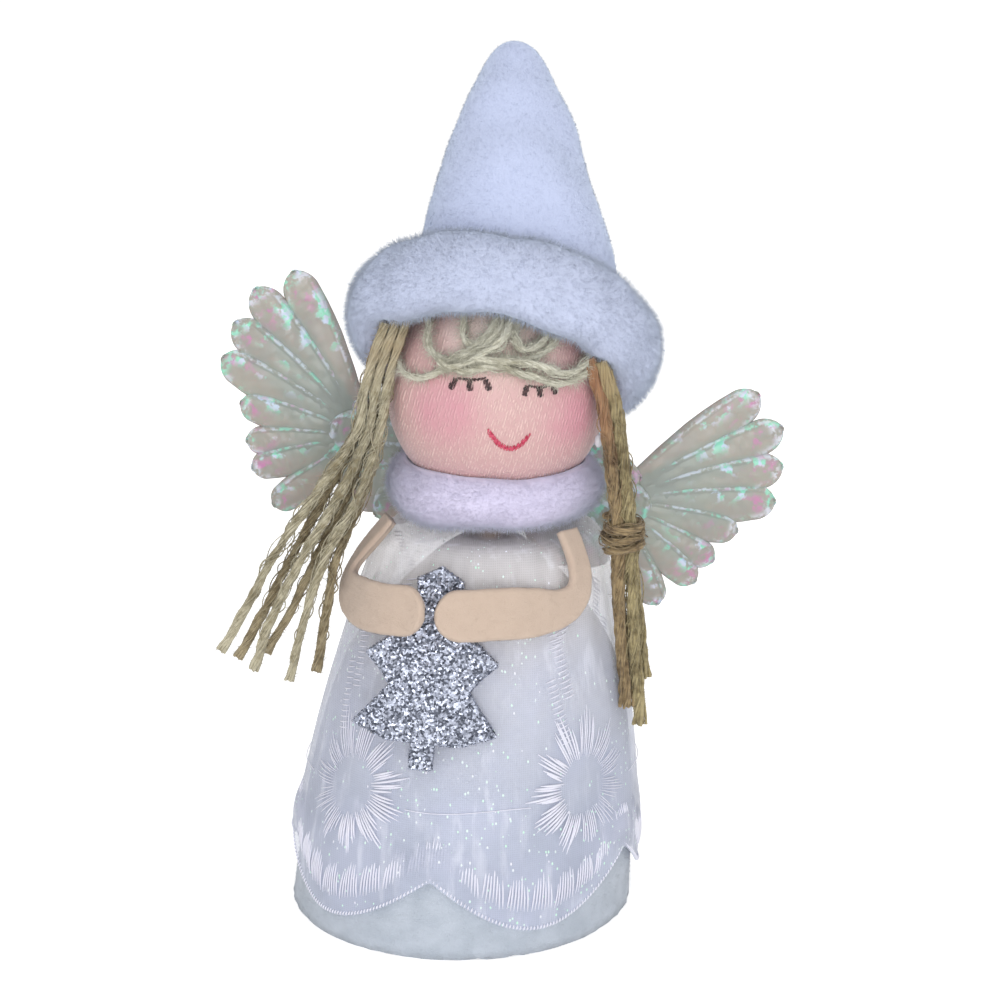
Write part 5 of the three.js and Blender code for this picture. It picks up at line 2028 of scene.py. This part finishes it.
@dataclass
class Wings:
    """Both wings of puffed film and the bridge between them."""

    middle: Point = (6, 18.9, 72.4)
    roll: float = 15
    foot: tuple[float, float] = (21.7, -5.4)
    covert_foot: tuple[float, float] = (6.3, -4.6)
    length: float = 31.8
    width: float = 7.28
    film: float = 0.22
    feathers: tuple[Point, ...] = (
        (53.6, 0.985, 1), (40.7, 1, 1), (28.8, 0.934, 1), (16.7, 0.874, 1),
        (3.4, 0.689, 0.86), (-13.9, 0.629, 0.8), (-28.1, 0.62, 0.8), (-50.1, 0.604, 0.8),
    )
    coverts: tuple[Point, ...] = (
        (47, 15.5, 9), (31, 17, 9), (16, 19.5, 9), (1, 22, 9.5), (-16, 22.5, 9.5), (-32, 20, 9.5),
        (-50, 16.5, 8.5),
    )

    def wing(self, side: int) -> bpy.types.Mesh:
        """Makes a wing from its feathers.

        Args:
            side: 1 for the doll's left, -1 for its right.

        Returns:
            The wing's mesh.
        """
        rows = [Feather(self.foot, turn, self.length * long, self.width * wide, 0.05 * k - 0.1, 0.55)
                for k, (turn, long, wide) in enumerate(self.feathers)]
        rows += [Feather(self.covert_foot, turn, long, wide, 0.35 + 0.03 * k, 0.35, 0.8)
                 for k, (turn, long, wide) in enumerate(self.coverts)]
        shape = gathered([plain_mesh("feather", feather.shape(k)) for k, feather in enumerate(rows)])
        bmesh.ops.scale(shape, vec=(side, 1, 1), verts=shape.verts)
        if side < 0:
            bmesh.ops.reverse_faces(shape, faces=shape.faces)
        at = Matrix.Translation(self.middle) @ Matrix.Rotation(math.radians(self.roll), 4, "Y")
        bmesh.ops.transform(shape, matrix=at, verts=shape.verts)
        return finished_mesh("wing", shape)

    def build(self) -> None:
        """Makes both wings and dresses the bridge."""
        for side, name, body in ((1, "left_wing", Body.LEFT_WING), (-1, "right_wing", Body.RIGHT_WING)):
            item = Piece(f"{name}_feathers", FILM, "wing_film", (name,), body).shown(self.wing(side))
            thickened(item, self.film)
        dressed("wing_bridge", FILM, 0.15)


# The studio


def aimed(item: bpy.types.Object, place: Vector, target: Vector) -> None:
    """Moves a camera or lamp to a place and turns it to a target, both in metres."""
    item.location = place
    item.rotation_euler = (target - place).to_track_quat("-Z", "Y").to_euler()


@dataclass
class Studio:
    """The camera at the photograph's angle, soft lights and a pale floor.

    Each lamp has its place in metres, its power and the side of its square.
    """

    eye: Point = (6.5, -367.05, 166.05)
    target: Point = (6.5, 0, 67.7)
    lens: float = 84.42
    lit: Point = (0.006, 0, 0.07)
    lamps: tuple[tuple[str, Point, float, float], ...] = (
        ("key", (-0.05, -0.6, 0.4), 0.6, 0.5),
        ("front", (0.015, -0.6, 0.09), 0.8, 0.17),
        ("fill", (-0.45, -0.45, 0.08), 0.48, 0.5),
        ("other_fill", (0.38, -0.58, 0.08), 0.9, 0.5),
        ("back", (0.1, 0.5, 0.5), 0.7, 0.4),
    )
    sky: float = 0.66
    floor_grey: float = 0.9
    floor_glow: float = 0.5
    floor_side: float = 6

    def camera(self) -> None:
        """Makes the camera."""
        data = bpy.data.cameras.new("camera")
        data.lens, data.sensor_width = self.lens, 36
        data.clip_start, data.clip_end = 0.01, 10
        camera = linked("camera", data)
        aimed(camera, Vector(self.eye) * MM, Vector(self.target) * MM)
        bpy.context.scene.camera = camera

    def lights(self) -> None:
        """Adds the soft area lamps, which look at the doll."""
        for name, place, power, size in self.lamps:
            data = bpy.data.lights.new(name, "AREA")
            data.energy = power
            data.size = size
            aimed(linked(name, data), Vector(place), Vector(self.lit))

    def sky_dome(self) -> None:
        """Makes the sky, which shows white and lights the doll less."""
        world = bpy.data.worlds.new("studio")
        bpy.context.scene.world = world
        world.use_nodes = True
        tree = world.node_tree
        sky = tree.nodes["Background"]
        path = tree.nodes.new("ShaderNodeLightPath")
        seen = tree.nodes.new("ShaderNodeMath")
        seen.operation = "MAXIMUM"
        tree.links.new(path.outputs["Is Camera Ray"], seen.inputs[0])
        tree.links.new(path.outputs["Is Transmission Ray"], seen.inputs[1])
        level = tree.nodes.new("ShaderNodeMapRange")
        level.inputs["To Min"].default_value = self.sky
        tree.links.new(seen.outputs["Value"], level.inputs["Value"])
        tree.links.new(level.outputs["Result"], sky.inputs["Strength"])
        sky.inputs["Color"].default_value = (1, 1, 1, 1)

    def floor(self) -> None:
        """Makes the floor, which glows a little for the camera."""
        shape = bmesh.new()
        bmesh.ops.create_grid(shape, x_segments=1, y_segments=1, size=self.floor_side / 2)
        mesh = plain_mesh("floor", shape)
        paint = Paint("floor")
        paint.values(Roughness=0.9, Base_Color=(self.floor_grey,) * 3, Emission_Color=(1, 1, 1))
        seen = paint.node("ShaderNodeLightPath").outputs["Is Camera Ray"]
        paint.values(Emission_Strength=paint.times(seen, self.floor_glow))
        mesh.materials.append(paint.material)
        linked("floor", mesh)

    def build(self) -> None:
        """Makes the whole studio."""
        self.camera()
        self.lights()
        self.sky_dome()
        self.floor()
        bpy.context.scene.view_settings.view_transform = "Standard"


def main() -> None:
    """Builds the doll, part by part."""
    logging.basicConfig(level=logging.INFO, format="%(name)s %(message)s")
    # the camera and the cords come first
    parts = [Studio(), Hair(), Skirt(), Overskirt(), Neck(), Head()]
    parts += [collar(), brim(), Arms(), Tree(), Hat(), Wings()]
    for part in parts:
        part.build()
        LOG.info("%s is done", type(part).__name__)
    dressed("glue_drop", GLUE, levels=1)


if __name__ == "__main__":
    main()
